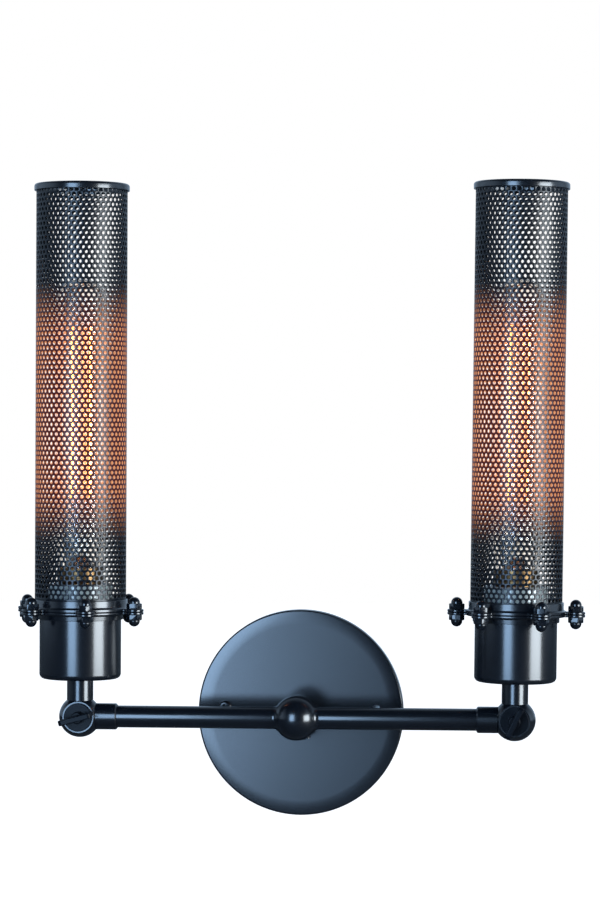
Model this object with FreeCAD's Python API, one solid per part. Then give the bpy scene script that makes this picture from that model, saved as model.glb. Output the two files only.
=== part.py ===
import FreeCAD
import Part
import math
import os

# A twin-lamp wall light with perforated cages on swivelling socket cups.
# Millimetres. The wall is the plane y = 0 and the light stands out along -Y.
# +Z is up. The origin is the centre of the backplate's wall side, level with
# the arms. Lamp pieces are built round their own swivel pivot and then placed.

# Shared fits
thread_clearance = 0.05
seat_clearance = 0.05
sweep_clearance = 0.3
cut_overrun = 2.0
join_tolerance = 0.001
flat_share = 0.9
nut_chamfer_share = 0.13

# Backplate, a shallow pressed dish
plate_radius = 60.325
plate_depth = 9.0
plate_sheet = 1.2
plate_roll_width = 6.0
plate_roll_drop = 0.7
plate_roll_radius = 14.0
plate_edge_round = 1.1
plate_inner_round = 0.5

# Canopy screws, on a line that is turned a little from level
canopy_screw_reach = 44.45
canopy_screw_turn = 3.5
canopy_shank_radius = 2.05
canopy_head_radius = 4.05
canopy_head_rise = 2.4
canopy_head_round = 1.5
canopy_hole_play = 0.3
recess_length = 4.4
recess_width = 1.0
recess_depth = 1.3

# Mounting crossbar, flush with the wall
crossbar_length = 104.0
crossbar_width = 20.0
crossbar_thickness = 1.6
crossbar_centre_hole_radius = 8.0
box_hole_reach = 34.925
box_hole_radius = 2.4
ground_screw_reach = 22.0
ground_shank_radius = 2.0
ground_head_width = 7.5
ground_head_height = 2.6

# Hub stem, nipple and nut
stem_radius = 9.5
nipple_radius = 5.0
nipple_bore_radius = 3.3
nipple_inset = 2.2
nipple_into_hub = 3.2
nut_width = 14.0
nut_height = 3.5
set_screw_turn = 21.0
set_screw_behind_hub = 18.0
set_screw_shank_radius = 1.5
set_screw_head_radius = 2.1
set_screw_head_foot = 10.6
set_screw_head_top = 14.8
set_screw_slot_width = 0.6
set_screw_slot_depth = 0.9

# Hub and arms
arm_axis_reach = 42.0
hub_radius = 13.0
hub_blend_radius = 3.6
hub_cavity_radius = 7.0
arm_radius = 6.35
arm_wall = 1.2
spigot_length = 8.0
spigot_bore_radius = 3.6

# Leads through the nipple, hub and arms
lead_radius = 0.9
lead_offset = 1.5
lead_bend_radius = 4.0
lead_tail_inset = 1.0
lead_end_clearance = 1.2

# Ball swivels
pivot_reach = 125.7
ball_radius = 12.1
ball_face_radius = 9.0
swivel_gap = 0.5
collar_radius = 7.6
collar_length = 21.8
collar_chamfer = 0.7
collar_seat = 13.8
neck_radius = 7.6
neck_thread_depth = 8.2
swivel_bore_radius = 3.6
swivel_pocket_radius = 8.2
swivel_pocket_depth = 4.0
swivel_boss_radius = 4.5
thumb_thread_depth = 9.0
washer_thickness = 0.4
washer_margin = 0.2

# Thumb screws
thumb_shank_radius = 2.45
thumb_shank_play = 0.35
thumb_head_radius = 8.2
thumb_head_thickness = 1.3
thumb_head_round = 0.4
thumb_boss_radius = 3.5
thumb_boss_height = 5.5
thumb_boss_round = 0.8
thumb_reach = 15.0
wing_foot_half = 5.6
wing_top_half = 10.8
wing_thickness = 3.2
wing_corner_round = 2.2
wing_edge_round = 0.6
wing_foot_round = 1.0
wing_foot_sink = 0.5
thumb_end_gap = 0.6

# Socket cups, from the pivot up
cup_bottom = 22.0
cup_height = 37.8
cup_step_in = 2.8
cup_wall = 1.2
cup_corner_round = 3.0
cup_inner_round = 1.8

# Flanges
flange_thickness = 1.6
flange_ring_width = 2.1
flange_edge_round = 0.5
ear_count = 6
ear_reach = 5.7
ear_radius = 5.4
ear_neck_width = 6.4
ear_neck_round = 1.0
ear_hole_radius = 2.2
skirt_height = 3.4
skirt_wall = 1.2
skirt_blend = 1.0
band_height = 6.5
band_wall = 0.8
band_blend = 1.4
band_top_round = 0.3

# Studs and acorn nuts
stud_radius = 2.0
stud_reach = 4.6
acorn_width = 7.8
acorn_hex_height = 3.2
acorn_dome_radius = 3.3
acorn_height = 6.9
acorn_bore_depth = 5.0
acorn_turn_step = 17.0

# Cage and rim
cage_radius = 26.4
cage_wall = 0.9
cage_clear_height = 242.8
opening_columns = 12
opening_rows = 18
opening_web_width = 7
opening_web_height = 6.3
rim_height = 4.1
rim_stand_out = 1.2
rim_stand_in = 1.7
rim_outer_round = 1.6
rim_inner_round = 1.2
rim_lip_round = 0.4
rim_seat_depth = 2.6

# Cup nipple, nut and lampholder
holder_rise = 12.0
holder_foot_step = 4.0
holder_shoulder_height = 4.5
holder_wall = 4.7
holder_height = 43.0
holder_round = 1.2
holder_mouth_round = 0.8
holder_floor_height = 16.0
holder_bush_depth = 6.0
nipple_into_holder = 4.0
shell_play = 0.7
shell_wall = 0.4
shell_inset = 2.0
shell_floor_step = 4.8
contact_strip_width = 5.0
contact_strip_thickness = 0.5
contact_strip_length = 12.0
contact_tip_length = 5.0
terminal_inset = 4.0
terminal_head_radius = 2.9
terminal_head_height = 1.8
terminal_shank_radius = 1.5
terminal_shank_length = 5.0
terminal_end_gap = 0.5
terminal_slot_width = 0.7
terminal_slot_depth = 0.8

# Bulbs
contact_rise = 6.9
bulb_contact_tip_radius = 2.8
bulb_contact_tip_height = 0.8
bulb_insulator_height = 3.1
cap_cone_height = 2.5
cap_cone_width = 5.7
cap_radius = 13.1
cap_height = 23.5
cap_wall = 0.4
glass_in_cap = 6.0
glass_neck_height = 8.0
glass_shoulder_height = 21.0
glass_bulge = 1.65
glass_wall = 0.8
glass_shoulder_round = 22.0
glass_neck_round = 8.0
glass_dome_round = 12.5
glass_height = 173.0
stem_inset = 2.0
stem_foot_height = 1.2
stem_flare_height = 11.0
stem_flare_radius = 3.6
stem_flare_round = 3.0
press_height = 10.0
press_width = 8.4
press_thickness = 3.0
rod_radius = 1.1
rod_height = 143.0
rod_button_radius = 1.9
rod_button_round = 0.9

# Filament
strand_count = 8
strand_circle_radius = 5.8
strand_radius = 0.32
strand_rise = 23.0
strand_length = 100.0
hook_radius = 0.22
hook_run = 4.0

# Radii that follow from the cage's and the bulb cap's
cup_radius = cage_radius - cup_step_in
flange_ring_radius = cage_radius + flange_ring_width
bolt_circle_radius = flange_ring_radius + ear_reach
rim_radius = cage_radius + rim_stand_out
rim_inner_radius = cage_radius - rim_stand_in
shell_radius = cap_radius + shell_play
shell_floor_radius = shell_radius - shell_floor_step
holder_radius = shell_radius + holder_wall
holder_foot_radius = holder_radius - holder_foot_step
terminal_reach = holder_foot_radius - terminal_inset
bulb_insulator_radius = cap_radius - cap_cone_width
glass_radius = cap_radius + glass_bulge

# Heights above the pivot that follow one from the other
flange_joint = cup_bottom + cup_height + flange_thickness
skirt_bottom = flange_joint - flange_thickness - skirt_height
band_top = flange_joint + band_height
rim_bottom = flange_joint + cage_clear_height
rim_top = rim_bottom + rim_height
opening_row_pitch = (rim_bottom - band_top) / opening_rows
holder_bottom = cup_bottom + holder_rise
holder_shoulder = holder_bottom + holder_shoulder_height
holder_top = holder_bottom + holder_height
holder_floor = holder_bottom + holder_floor_height
cup_nipple_top = holder_bottom + nipple_into_holder
shell_top = holder_top - shell_inset
bulb_contact_bottom = holder_floor + contact_rise
bulb_insulator_top = bulb_contact_bottom + bulb_insulator_height
cap_shoulder = bulb_insulator_top + cap_cone_height
cap_top = cap_shoulder + cap_height
glass_foot = cap_top - glass_in_cap
glass_neck_top = glass_foot + glass_neck_height
glass_shoulder = glass_foot + glass_shoulder_height
glass_top = glass_foot + glass_height
stem_foot = glass_foot + stem_inset
stem_flare_top = stem_foot + stem_flare_height
press_top = stem_flare_top + press_height
rod_top = stem_flare_top + rod_height
strand_bottom = press_top + strand_rise
strand_top = strand_bottom + strand_length
upper_hook_root = strand_top - hook_run
lower_hook_root = strand_bottom + hook_run

# Each side: name, direction from the hub, lean of the lamp towards +X, turn of
# the flange ears from the front and turn of the thumb wing from level
SIDES = [
    ("left", -1, 0.15, 13.0, 15.0),
    ("right", 1, 0.65, 25.0, 64.0),
]

X_WAY = FreeCAD.Vector(1, 0, 0)
Y_WAY = FreeCAD.Vector(0, 1, 0)
Z_WAY = FreeCAD.Vector(0, 0, 1)
ORIGIN = FreeCAD.Vector(0, 0, 0)


def at(x, y, z):
    return FreeCAD.Vector(x, y, z)


def save(node, shape):
    shape.exportStep("parts/%s.step" % node)


def rounded_wire(corners):
    """Closed wire in the XZ plane through (x, z) or (x, z, round radius) corners."""
    points = [at(corner[0], 0, corner[1]) for corner in corners]
    count = len(points)
    bends = []
    for i in range(count):
        radius = corners[i][2] if len(corners[i]) > 2 else 0
        if radius == 0:
            bends.append([points[i]])
            continue
        back = (points[i - 1] - points[i]).normalize()
        ahead = (points[(i + 1) % count] - points[i]).normalize()
        half = back.getAngle(ahead) / 2
        trim = radius / math.tan(half)
        rise = radius / math.sin(half) - radius
        middle = points[i] + (back + ahead).normalize() * rise
        bends.append([points[i] + back * trim, middle, points[i] + ahead * trim])
    edges = []
    for i in range(count):
        if len(bends[i]) > 1:
            edges.append(Part.Arc(*bends[i]).toShape())
        line_start = bends[i][-1]
        line_end = bends[(i + 1) % count][0]
        if not line_start.isEqual(line_end, join_tolerance):
            edges.append(Part.makeLine(line_start, line_end))
    return Part.Wire(edges)


def turned(corners):
    """Solid of revolution about Z from (radius, height) corners."""
    return Part.Face(rounded_wire(corners)).revolve(ORIGIN, Z_WAY, 360)


def outward(shape):
    """Turn a shape built along +Z so that it points out from the wall, along -Y."""
    shape.rotate(ORIGIN, X_WAY, 90)
    return shape


def moved(shape, place):
    shape.translate(place)
    return shape


def rod(radius, start, end):
    return Part.makeCylinder(radius, (end - start).Length, start, end - start)


def tube(outer, inner, start, end):
    return rod(outer, start, end).cut(rod(inner, start, end))


def block(low, high):
    size = high - low
    return Part.makeBox(size.x, size.y, size.z, low)


def hexagon(width, height):
    corner_radius = width / math.sqrt(3)
    points = []
    for i in range(7):
        turn = math.radians(60 * i)
        points.append(at(corner_radius * math.cos(turn), corner_radius * math.sin(turn), 0))
    return Part.Face(Part.makePolygon(points)).extrude(Z_WAY * height)


def hex_nut(width, height, bore):
    chamfer = height * nut_chamfer_share
    corner_radius = width / math.sqrt(3)
    envelope = turned([
        (bore, 0),
        (width / 2, 0),
        (corner_radius, chamfer),
        (corner_radius, height - chamfer),
        (width / 2, height),
        (bore, height),
    ])
    return hexagon(width, height).common(envelope)


def backplate():
    front = plate_depth
    shoulder = plate_depth - plate_roll_drop
    roll_start = plate_radius - plate_roll_width
    inside = plate_radius - plate_sheet
    plate = turned([
        (0, front),
        (roll_start, front, plate_roll_radius),
        (plate_radius, shoulder, plate_edge_round),
        (plate_radius, 0),
        (inside, 0),
        (inside, shoulder - plate_sheet, plate_inner_round),
        (roll_start, front - plate_sheet, plate_roll_radius),
        (0, front - plate_sheet),
    ])
    plate = outward(plate)
    hole_radius = nipple_radius + thread_clearance
    plate = plate.cut(rod(hole_radius, ORIGIN, at(0, -plate_depth - cut_overrun, 0)))
    for place in canopy_screw_places():
        hole = rod(canopy_shank_radius + canopy_hole_play, place,
                   place - Y_WAY * (plate_depth + cut_overrun))
        plate = plate.cut(hole)
    return plate


def on_plate_line(reach):
    """A point on the turned line of the canopy screws, at the wall."""
    turn = math.radians(canopy_screw_turn)
    return at(reach * math.cos(turn), 0, -reach * math.sin(turn))


def canopy_screw_places():
    return [on_plate_line(-canopy_screw_reach), on_plate_line(canopy_screw_reach)]


def cross_recess(top):
    along = block(at(-recess_length / 2, -recess_width / 2, top - recess_depth),
                  at(recess_length / 2, recess_width / 2, top + cut_overrun))
    across = along.copy()
    across.rotate(ORIGIN, Z_WAY, 90)
    return along.fuse(across)


def canopy_screw():
    top = plate_depth + canopy_head_rise
    head = turned([
        (0, plate_depth),
        (canopy_head_radius, plate_depth),
        (canopy_head_radius, top, canopy_head_round),
        (0, top),
    ])
    screw = head.fuse(rod(canopy_shank_radius, ORIGIN, Z_WAY * plate_depth))
    return outward(screw.removeSplitter().cut(cross_recess(top)))


def canopy_screws():
    return Part.makeCompound([moved(canopy_screw(), place) for place in canopy_screw_places()])


def mounting_crossbar():
    half_width = crossbar_width / 2
    half_length = crossbar_length / 2
    bar = block(at(-half_length, -crossbar_thickness, -half_width),
                at(half_length, 0, half_width))
    bar = bar.common(rod(half_length, at(0, cut_overrun, 0), at(0, -cut_overrun, 0)))
    through = at(0, -crossbar_thickness - cut_overrun, 0)
    bar.rotate(ORIGIN, Y_WAY, canopy_screw_turn)
    bar = bar.cut(rod(crossbar_centre_hole_radius, ORIGIN, through))
    holes = [
        (canopy_screw_reach, canopy_shank_radius + thread_clearance),
        (-canopy_screw_reach, canopy_shank_radius + thread_clearance),
        (box_hole_reach, box_hole_radius),
        (-box_hole_reach, box_hole_radius),
        (-ground_screw_reach, ground_shank_radius + thread_clearance),
    ]
    for reach, radius in holes:
        place = on_plate_line(reach)
        bar = bar.cut(rod(radius, place, place + through))
    return bar


def ground_screw():
    head = moved(hex_nut(ground_head_width, ground_head_height, 0), Z_WAY * crossbar_thickness)
    screw = head.fuse(rod(ground_shank_radius, ORIGIN, Z_WAY * crossbar_thickness))
    return moved(outward(screw), on_plate_line(-ground_screw_reach))


def hub_flat():
    """Distance from the hub's centre back to its flat seat on the stem."""
    return math.sqrt(hub_radius ** 2 - stem_radius ** 2)


def blend_end():
    """Distance from the hub's centre along an arm to the end of the blend."""
    reach = hub_radius + hub_blend_radius
    height = arm_radius + hub_blend_radius
    return math.sqrt(reach ** 2 - height ** 2)


def flip(point):
    return at(point.x, 0, -point.z)


def hub_outline():
    """Closed (height, along) outline of ball, blends and spigots, turned later."""
    end = blend_end()
    centre_height = arm_radius + hub_blend_radius
    share = hub_radius / (hub_radius + hub_blend_radius)
    touch = at(centre_height * share, 0, end * share)
    centre = at(centre_height, 0, end)
    sweep = (touch - centre).normalize() + at(-1, 0, 0)
    middle = centre + sweep.normalize() * hub_blend_radius
    foot = at(arm_radius, 0, end)
    spigot = arm_radius - arm_wall - seat_clearance
    tip = end + spigot_length
    far = [at(spigot, 0, end), at(spigot, 0, tip), at(0, 0, tip)]
    edges = [
        Part.Arc(flip(touch), at(hub_radius, 0, 0), touch).toShape(),
        Part.Arc(touch, middle, foot).toShape(),
        Part.Arc(flip(touch), flip(middle), flip(foot)).toShape(),
        Part.makeLine(far[2], flip(far[2])),
    ]
    for path in ([foot] + far, [flip(foot)] + [flip(point) for point in far]):
        for start, end_point in zip(path, path[1:]):
            edges.append(Part.makeLine(start, end_point))
    return Part.Wire(Part.__sortEdges__(edges))


def hub():
    body = Part.Face(hub_outline()).revolve(ORIGIN, Z_WAY, 360)
    body.rotate(ORIGIN, Y_WAY, 90)
    tip = blend_end() + spigot_length + cut_overrun
    body = body.cut(rod(spigot_bore_radius, X_WAY * -tip, X_WAY * tip))
    body = body.cut(Part.makeSphere(hub_cavity_radius))
    behind = at(hub_radius, hub_radius + cut_overrun, hub_radius)
    body = body.cut(block(at(-hub_radius, hub_flat(), -hub_radius), behind))
    body = body.cut(rod(nipple_radius + thread_clearance, ORIGIN, Y_WAY * hub_radius))
    return moved(body, at(0, -arm_axis_reach, 0))


def hub_stem():
    front = at(0, hub_flat() - arm_axis_reach, 0)
    stem = tube(stem_radius, nipple_radius + thread_clearance, at(0, -plate_depth, 0), front)
    centre = at(0, set_screw_behind_hub - arm_axis_reach, 0)
    way = set_screw_way()
    hole = rod(set_screw_shank_radius + thread_clearance, centre, centre + way * hub_radius)
    return stem.cut(hole)


def set_screw_way():
    turn = math.radians(set_screw_turn)
    return at(math.sin(turn), 0, -math.cos(turn))


def hub_set_screw():
    tip = nipple_radius + seat_clearance
    shank = rod(set_screw_shank_radius, Z_WAY * tip, Z_WAY * set_screw_head_foot)
    head = rod(set_screw_head_radius, Z_WAY * set_screw_head_foot, Z_WAY * set_screw_head_top)
    slot = block(at(-hub_radius, -set_screw_slot_width / 2, set_screw_head_top - set_screw_slot_depth),
                 at(hub_radius, set_screw_slot_width / 2, set_screw_head_top + cut_overrun))
    screw = shank.fuse(head).cut(slot)
    screw.rotate(ORIGIN, Y_WAY, 180 - set_screw_turn)
    return moved(screw, at(0, set_screw_behind_hub - arm_axis_reach, 0))


def threaded_nipple():
    front = at(0, hub_flat() - nipple_into_hub - arm_axis_reach, 0)
    return tube(nipple_radius, nipple_bore_radius, at(0, -nipple_inset, 0), front)


def nipple_nut():
    nut = hex_nut(nut_width, nut_height, nipple_radius + thread_clearance)
    nut = moved(nut, Z_WAY * (plate_depth - plate_sheet - nut_height))
    return outward(nut)


def arm(side):
    start = at(side * blend_end(), -arm_axis_reach, 0)
    end = at(side * (pivot_reach - collar_seat), -arm_axis_reach, 0)
    return tube(arm_radius, arm_radius - arm_wall, start, end)


def lead(side, level):
    bend_y = lead_bend_radius - arm_axis_reach
    near = side * lead_offset
    far = side * (lead_offset + lead_bend_radius)
    slope = lead_bend_radius * (1 - math.sqrt(0.5))
    end = side * (pivot_reach - collar_seat - lead_end_clearance)
    start = at(near, -lead_tail_inset, level)
    bend_start = at(near, bend_y, level)
    bend_middle = at(near + side * slope, slope - arm_axis_reach, level)
    bend_end = at(far, -arm_axis_reach, level)
    path = Part.Wire([
        Part.makeLine(start, bend_start),
        Part.Arc(bend_start, bend_middle, bend_end).toShape(),
        Part.makeLine(bend_end, at(end, -arm_axis_reach, level)),
    ])
    section = Part.Wire([Part.makeCircle(lead_radius, start, Y_WAY)])
    return path.makePipeShell([section], True, False)


def arm_leads():
    levels = (-lead_offset, lead_offset)
    return Part.makeCompound([lead(side, level) for side in (-1, 1) for level in levels])


def half_space(low_y, high_y):
    reach = ball_radius + collar_length
    return block(at(-reach, low_y, -reach), at(reach, high_y, reach))


def swivel_base(side):
    """Rear half ball and arm collar, round the pivot. The arm lies on -side."""
    middle = swivel_gap / 2
    rear = Part.makeSphere(ball_radius).common(half_space(middle, ball_radius))
    collar = turned([
        (0, 0),
        (collar_radius, 0),
        (collar_radius, collar_length - collar_chamfer),
        (collar_radius - collar_chamfer, collar_length),
        (0, collar_length),
    ])
    collar.rotate(ORIGIN, Y_WAY, -90 * side)
    swept = Part.makeSphere(ball_radius + sweep_clearance)
    collar = collar.cut(swept.common(half_space(-ball_radius - cut_overrun, middle)))
    inward = X_WAY * -side
    base = rear.fuse(collar).removeSplitter()
    base = base.cut(rod(arm_radius + seat_clearance, inward * collar_seat,
                        inward * (collar_length + cut_overrun)))
    base = base.cut(rod(swivel_bore_radius, inward * swivel_boss_radius, inward * collar_length))
    pocket = tube(swivel_pocket_radius, swivel_boss_radius, Y_WAY * middle,
                  Y_WAY * (middle + swivel_pocket_depth))
    base = base.cut(pocket)
    thread = thumb_shank_radius + thread_clearance
    return base.cut(rod(thread, ORIGIN, Y_WAY * thumb_thread_depth))


def face_reach():
    """Distance from the pivot forward to the ball's flat face."""
    return math.sqrt(ball_radius ** 2 - ball_face_radius ** 2)


def swivel_head():
    """Front half ball with a flat face, and the neck under the cup."""
    middle = swivel_gap / 2
    front = Part.makeSphere(ball_radius).common(half_space(-face_reach(), -middle))
    neck = rod(neck_radius, ORIGIN, Z_WAY * cup_bottom)
    swept = Part.makeSphere(ball_radius + sweep_clearance)
    neck = neck.cut(swept.common(half_space(-middle, ball_radius + cut_overrun)))
    head = front.fuse(neck).removeSplitter()
    head = head.cut(rod(nipple_radius + thread_clearance, Z_WAY * (cup_bottom - neck_thread_depth),
                        Z_WAY * (cup_bottom + cut_overrun)))
    head = head.cut(rod(swivel_bore_radius, Z_WAY * swivel_boss_radius, Z_WAY * cup_bottom))
    pocket = tube(swivel_pocket_radius, swivel_boss_radius, Y_WAY * -middle,
                  Y_WAY * -(middle + swivel_pocket_depth))
    head = head.cut(pocket)
    hole = thumb_shank_radius + thumb_shank_play
    return head.cut(rod(hole, ORIGIN, Y_WAY * -ball_radius))


def swivel_washer():
    middle = swivel_gap / 2
    return tube(swivel_boss_radius - washer_margin, thumb_shank_radius + thumb_shank_play,
                Y_WAY * middle, Y_WAY * (middle - washer_thickness))


def thumb_wing(foot, top):
    outline = rounded_wire([
        (-wing_foot_half, foot, wing_foot_round),
        (wing_foot_half, foot, wing_foot_round),
        (wing_top_half, top, wing_corner_round),
        (-wing_top_half, top, wing_corner_round),
    ])
    wing = Part.Face(outline).extrude(Y_WAY * wing_thickness)
    wing.translate(Y_WAY * (-wing_thickness / 2))
    rims = [face.OuterWire.Edges for face in wing.Faces if abs(face.normalAt(0, 0).y) > flat_share]
    return wing.makeFillet(wing_edge_round, rims[0] + rims[1])


def thumb_screw(wing_turn):
    """Thumb screw along +Z from the ball's flat face, then laid outward."""
    seat = face_reach() + seat_clearance
    disc_top = seat + thumb_head_thickness
    boss_top = seat + thumb_boss_height
    top = face_reach() + thumb_reach
    body = turned([
        (0, -thumb_thread_depth + thumb_end_gap),
        (thumb_shank_radius, -thumb_thread_depth + thumb_end_gap),
        (thumb_shank_radius, seat),
        (thumb_head_radius, seat),
        (thumb_head_radius, disc_top, thumb_head_round),
        (thumb_boss_radius, disc_top),
        (thumb_boss_radius, boss_top, thumb_boss_round),
        (0, boss_top),
    ])
    screw = body.fuse(thumb_wing(disc_top - wing_foot_sink, top)).removeSplitter()
    screw = outward(screw)
    screw.rotate(ORIGIN, Y_WAY, -wing_turn)
    return screw


def socket_cup():
    hole = nipple_radius + thread_clearance
    inside = cup_radius - cup_wall
    top = flange_joint - flange_thickness
    return turned([
        (hole, cup_bottom),
        (cup_radius, cup_bottom, cup_corner_round),
        (cup_radius, top),
        (inside, top),
        (inside, cup_bottom + cup_wall, cup_inner_round),
        (hole, cup_bottom + cup_wall),
    ])


def ear_angles(flange_turn):
    return [flange_turn + 360 / ear_count * i for i in range(ear_count)]


def bolt_place(turn, height):
    """Point on the bolt circle, turned from the front towards +X."""
    angle = math.radians(turn)
    return at(bolt_circle_radius * math.sin(angle), -bolt_circle_radius * math.cos(angle), height)


def eared_plate(inner_radius, flange_turn):
    """Flat six-eared ring from z = 0 up, with rounded outer edges."""
    half_neck = ear_neck_width / 2
    plate = rod(flange_ring_radius, ORIGIN, Z_WAY * flange_thickness)
    for turn in ear_angles(flange_turn):
        place = bolt_place(turn, 0)
        lobe = rod(ear_radius, place, place + Z_WAY * flange_thickness)
        neck = block(at(-half_neck, -bolt_circle_radius, 0), at(half_neck, 0, flange_thickness))
        neck.rotate(ORIGIN, Z_WAY, turn)
        plate = plate.fuse(lobe).fuse(neck)
    plate = plate.removeSplitter()
    corners = [edge for edge in plate.Edges if is_neck_corner(edge, flange_turn)]
    plate = plate.makeFillet(ear_neck_round, corners)
    flats = [face for face in plate.Faces if abs(face.normalAt(0, 0).z) > flat_share]
    rims = [edge for face in flats for edge in face.OuterWire.Edges]
    plate = plate.makeFillet(flange_edge_round, rims)
    plate = plate.cut(rod(inner_radius, ORIGIN, Z_WAY * flange_thickness))
    for turn in ear_angles(flange_turn):
        place = bolt_place(turn, 0)
        plate = plate.cut(rod(ear_hole_radius, place, place + Z_WAY * flange_thickness))
    return plate


def is_neck_corner(edge, flange_turn):
    """True for an upright edge where an ear's neck meets the ring or the lobe."""
    start = edge.Vertexes[0].Point
    end = edge.Vertexes[-1].Point
    if abs(abs(end.z - start.z) - flange_thickness) > join_tolerance:
        return False
    for turn in ear_angles(flange_turn):
        angle = math.radians(turn)
        along = start.x * math.sin(angle) - start.y * math.cos(angle)
        beside = start.x * math.cos(angle) + start.y * math.sin(angle)
        if along > 0 and abs(abs(beside) - ear_neck_width / 2) < join_tolerance:
            return True
    return False


def cup_flange(flange_turn):
    bottom = flange_joint - flange_thickness
    inner = cup_radius + seat_clearance
    outer = inner + skirt_wall
    plate = moved(eared_plate(cup_radius - cup_wall, flange_turn), Z_WAY * bottom)
    skirt = turned([
        (inner, skirt_bottom),
        (outer, skirt_bottom),
        (outer, bottom, skirt_blend),
        (outer + skirt_blend, bottom),
        (outer + skirt_blend, bottom + flange_thickness / 2),
        (inner, bottom + flange_thickness / 2),
    ])
    return plate.fuse(skirt).removeSplitter()


def cage_flange(flange_turn):
    top = flange_joint + flange_thickness
    inner = cage_radius + seat_clearance
    outer = inner + band_wall
    plate = moved(eared_plate(inner, flange_turn), Z_WAY * flange_joint)
    band = turned([
        (inner, flange_joint + flange_thickness / 2),
        (outer + band_blend, flange_joint + flange_thickness / 2),
        (outer + band_blend, top),
        (outer, top, band_blend),
        (outer, band_top, band_top_round),
        (inner, band_top),
    ])
    return plate.fuse(band).removeSplitter()


def flange_studs(flange_turn):
    reach = flange_thickness + stud_reach
    studs = []
    for turn in ear_angles(flange_turn):
        low = bolt_place(turn, flange_joint - reach)
        studs.append(rod(stud_radius, low, low + Z_WAY * (2 * reach)))
    return Part.makeCompound(studs)


def acorn_nut():
    hexed = hex_nut(acorn_width, acorn_hex_height, 0)
    dome = turned([
        (0, acorn_hex_height / 2),
        (acorn_dome_radius, acorn_hex_height / 2),
        (acorn_dome_radius, acorn_height, acorn_dome_radius),
        (0, acorn_height),
    ])
    nut = hexed.fuse(dome).removeSplitter()
    return nut.cut(rod(stud_radius + thread_clearance, ORIGIN, Z_WAY * acorn_bore_depth))


def acorn_nuts(flange_turn, upper):
    height = flange_joint + (flange_thickness if upper else -flange_thickness)
    nuts = []
    for i, turn in enumerate(ear_angles(flange_turn)):
        nut = acorn_nut()
        nut.rotate(ORIGIN, Z_WAY, turn + acorn_turn_step * i)
        if not upper:
            nut.rotate(ORIGIN, X_WAY, 180)
        nuts.append(moved(nut, bolt_place(turn, height)))
    return Part.makeCompound(nuts)


def cage_openings():
    """Blocks that cut a plain grid of openings, in rows up and columns round the cage."""
    half = (cage_radius * math.tau / opening_columns - opening_web_width) / 2
    blocks = []
    for row in range(opening_rows):
        start = band_top + opening_row_pitch * row
        low = start + opening_web_height / 2
        high = start + opening_row_pitch - opening_web_height / 2
        for column in range(opening_columns):
            opening = block(at(-half, 0, low), at(half, cage_radius + cut_overrun, high))
            opening.rotate(ORIGIN, Z_WAY, 360 / opening_columns * column)
            blocks.append(opening)
    return blocks


def cage():
    """Thin tube with a coarse grid of openings, which stands for the fine perforation."""
    top = rim_bottom + rim_seat_depth - seat_clearance
    wall = tube(cage_radius, cage_radius - cage_wall, Z_WAY * flange_joint, Z_WAY * top)
    return wall.cut(cage_openings())


def cage_rim():
    seat = rim_bottom + rim_seat_depth
    groove_outer = cage_radius + seat_clearance
    groove_inner = cage_radius - cage_wall - seat_clearance
    return turned([
        (groove_outer, rim_bottom),
        (rim_radius, rim_bottom, rim_lip_round),
        (rim_radius, rim_top, rim_outer_round),
        (rim_inner_radius, rim_top, rim_inner_round),
        (rim_inner_radius, rim_bottom),
        (groove_inner, rim_bottom),
        (groove_inner, seat),
        (groove_outer, seat),
    ])


def cup_nipple():
    low = Z_WAY * (cup_bottom - neck_thread_depth + seat_clearance)
    return tube(nipple_radius, nipple_bore_radius, low, Z_WAY * cup_nipple_top)


def cup_nut():
    nut = hex_nut(nut_width, nut_height, nipple_radius + thread_clearance)
    return moved(nut, Z_WAY * (cup_bottom + cup_wall))


def terminal_places():
    return [X_WAY * -terminal_reach, X_WAY * terminal_reach]


def lampholder():
    bush = nipple_radius + thread_clearance
    mouth = shell_radius + seat_clearance
    bush_top = holder_bottom + holder_bush_depth
    body = turned([
        (bush, holder_bottom),
        (holder_foot_radius, holder_bottom, holder_round),
        (holder_radius, holder_shoulder, holder_round),
        (holder_radius, holder_top, holder_round),
        (mouth, holder_top, holder_mouth_round),
        (mouth, holder_floor),
        (0, holder_floor),
        (0, bush_top),
        (bush, bush_top),
    ])
    for place in terminal_places():
        low = place + Z_WAY * holder_bottom
        hole = rod(terminal_shank_radius + thread_clearance, low,
                   low + Z_WAY * (terminal_shank_length + terminal_end_gap))
        body = body.cut(hole)
    return body


def screw_shell():
    inside = shell_radius - shell_wall
    return turned([
        (shell_floor_radius, holder_floor),
        (shell_radius, holder_floor),
        (shell_radius, shell_top),
        (inside, shell_top),
        (inside, holder_floor + shell_wall),
        (shell_floor_radius, holder_floor + shell_wall),
    ])


def centre_contact():
    """Bent spring tongue from the holder's floor up to the bulb's contact."""
    half = contact_strip_thickness / 2
    foot = holder_floor + half
    tip = bulb_contact_bottom - sweep_clearance - half
    points = [
        at(contact_strip_length / 2, 0, foot),
        at(-contact_strip_length / 2, 0, foot),
        at(-contact_tip_length / 2, 0, tip),
        at(contact_tip_length / 2, 0, tip),
    ]
    width = Y_WAY * contact_strip_width
    strip = None
    for start, end in zip(points, points[1:]):
        way = (end - start).normalize()
        side = way.cross(Y_WAY) * half
        outline = Part.makePolygon([start + side, end + side, end - side, start - side, start + side])
        run = Part.Face(outline).extrude(width)
        knuckle = rod(half, end, end + width)
        strip = run.fuse(knuckle) if strip is None else strip.fuse(run).fuse(knuckle)
    return moved(strip.removeSplitter(), width * -0.5)


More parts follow.
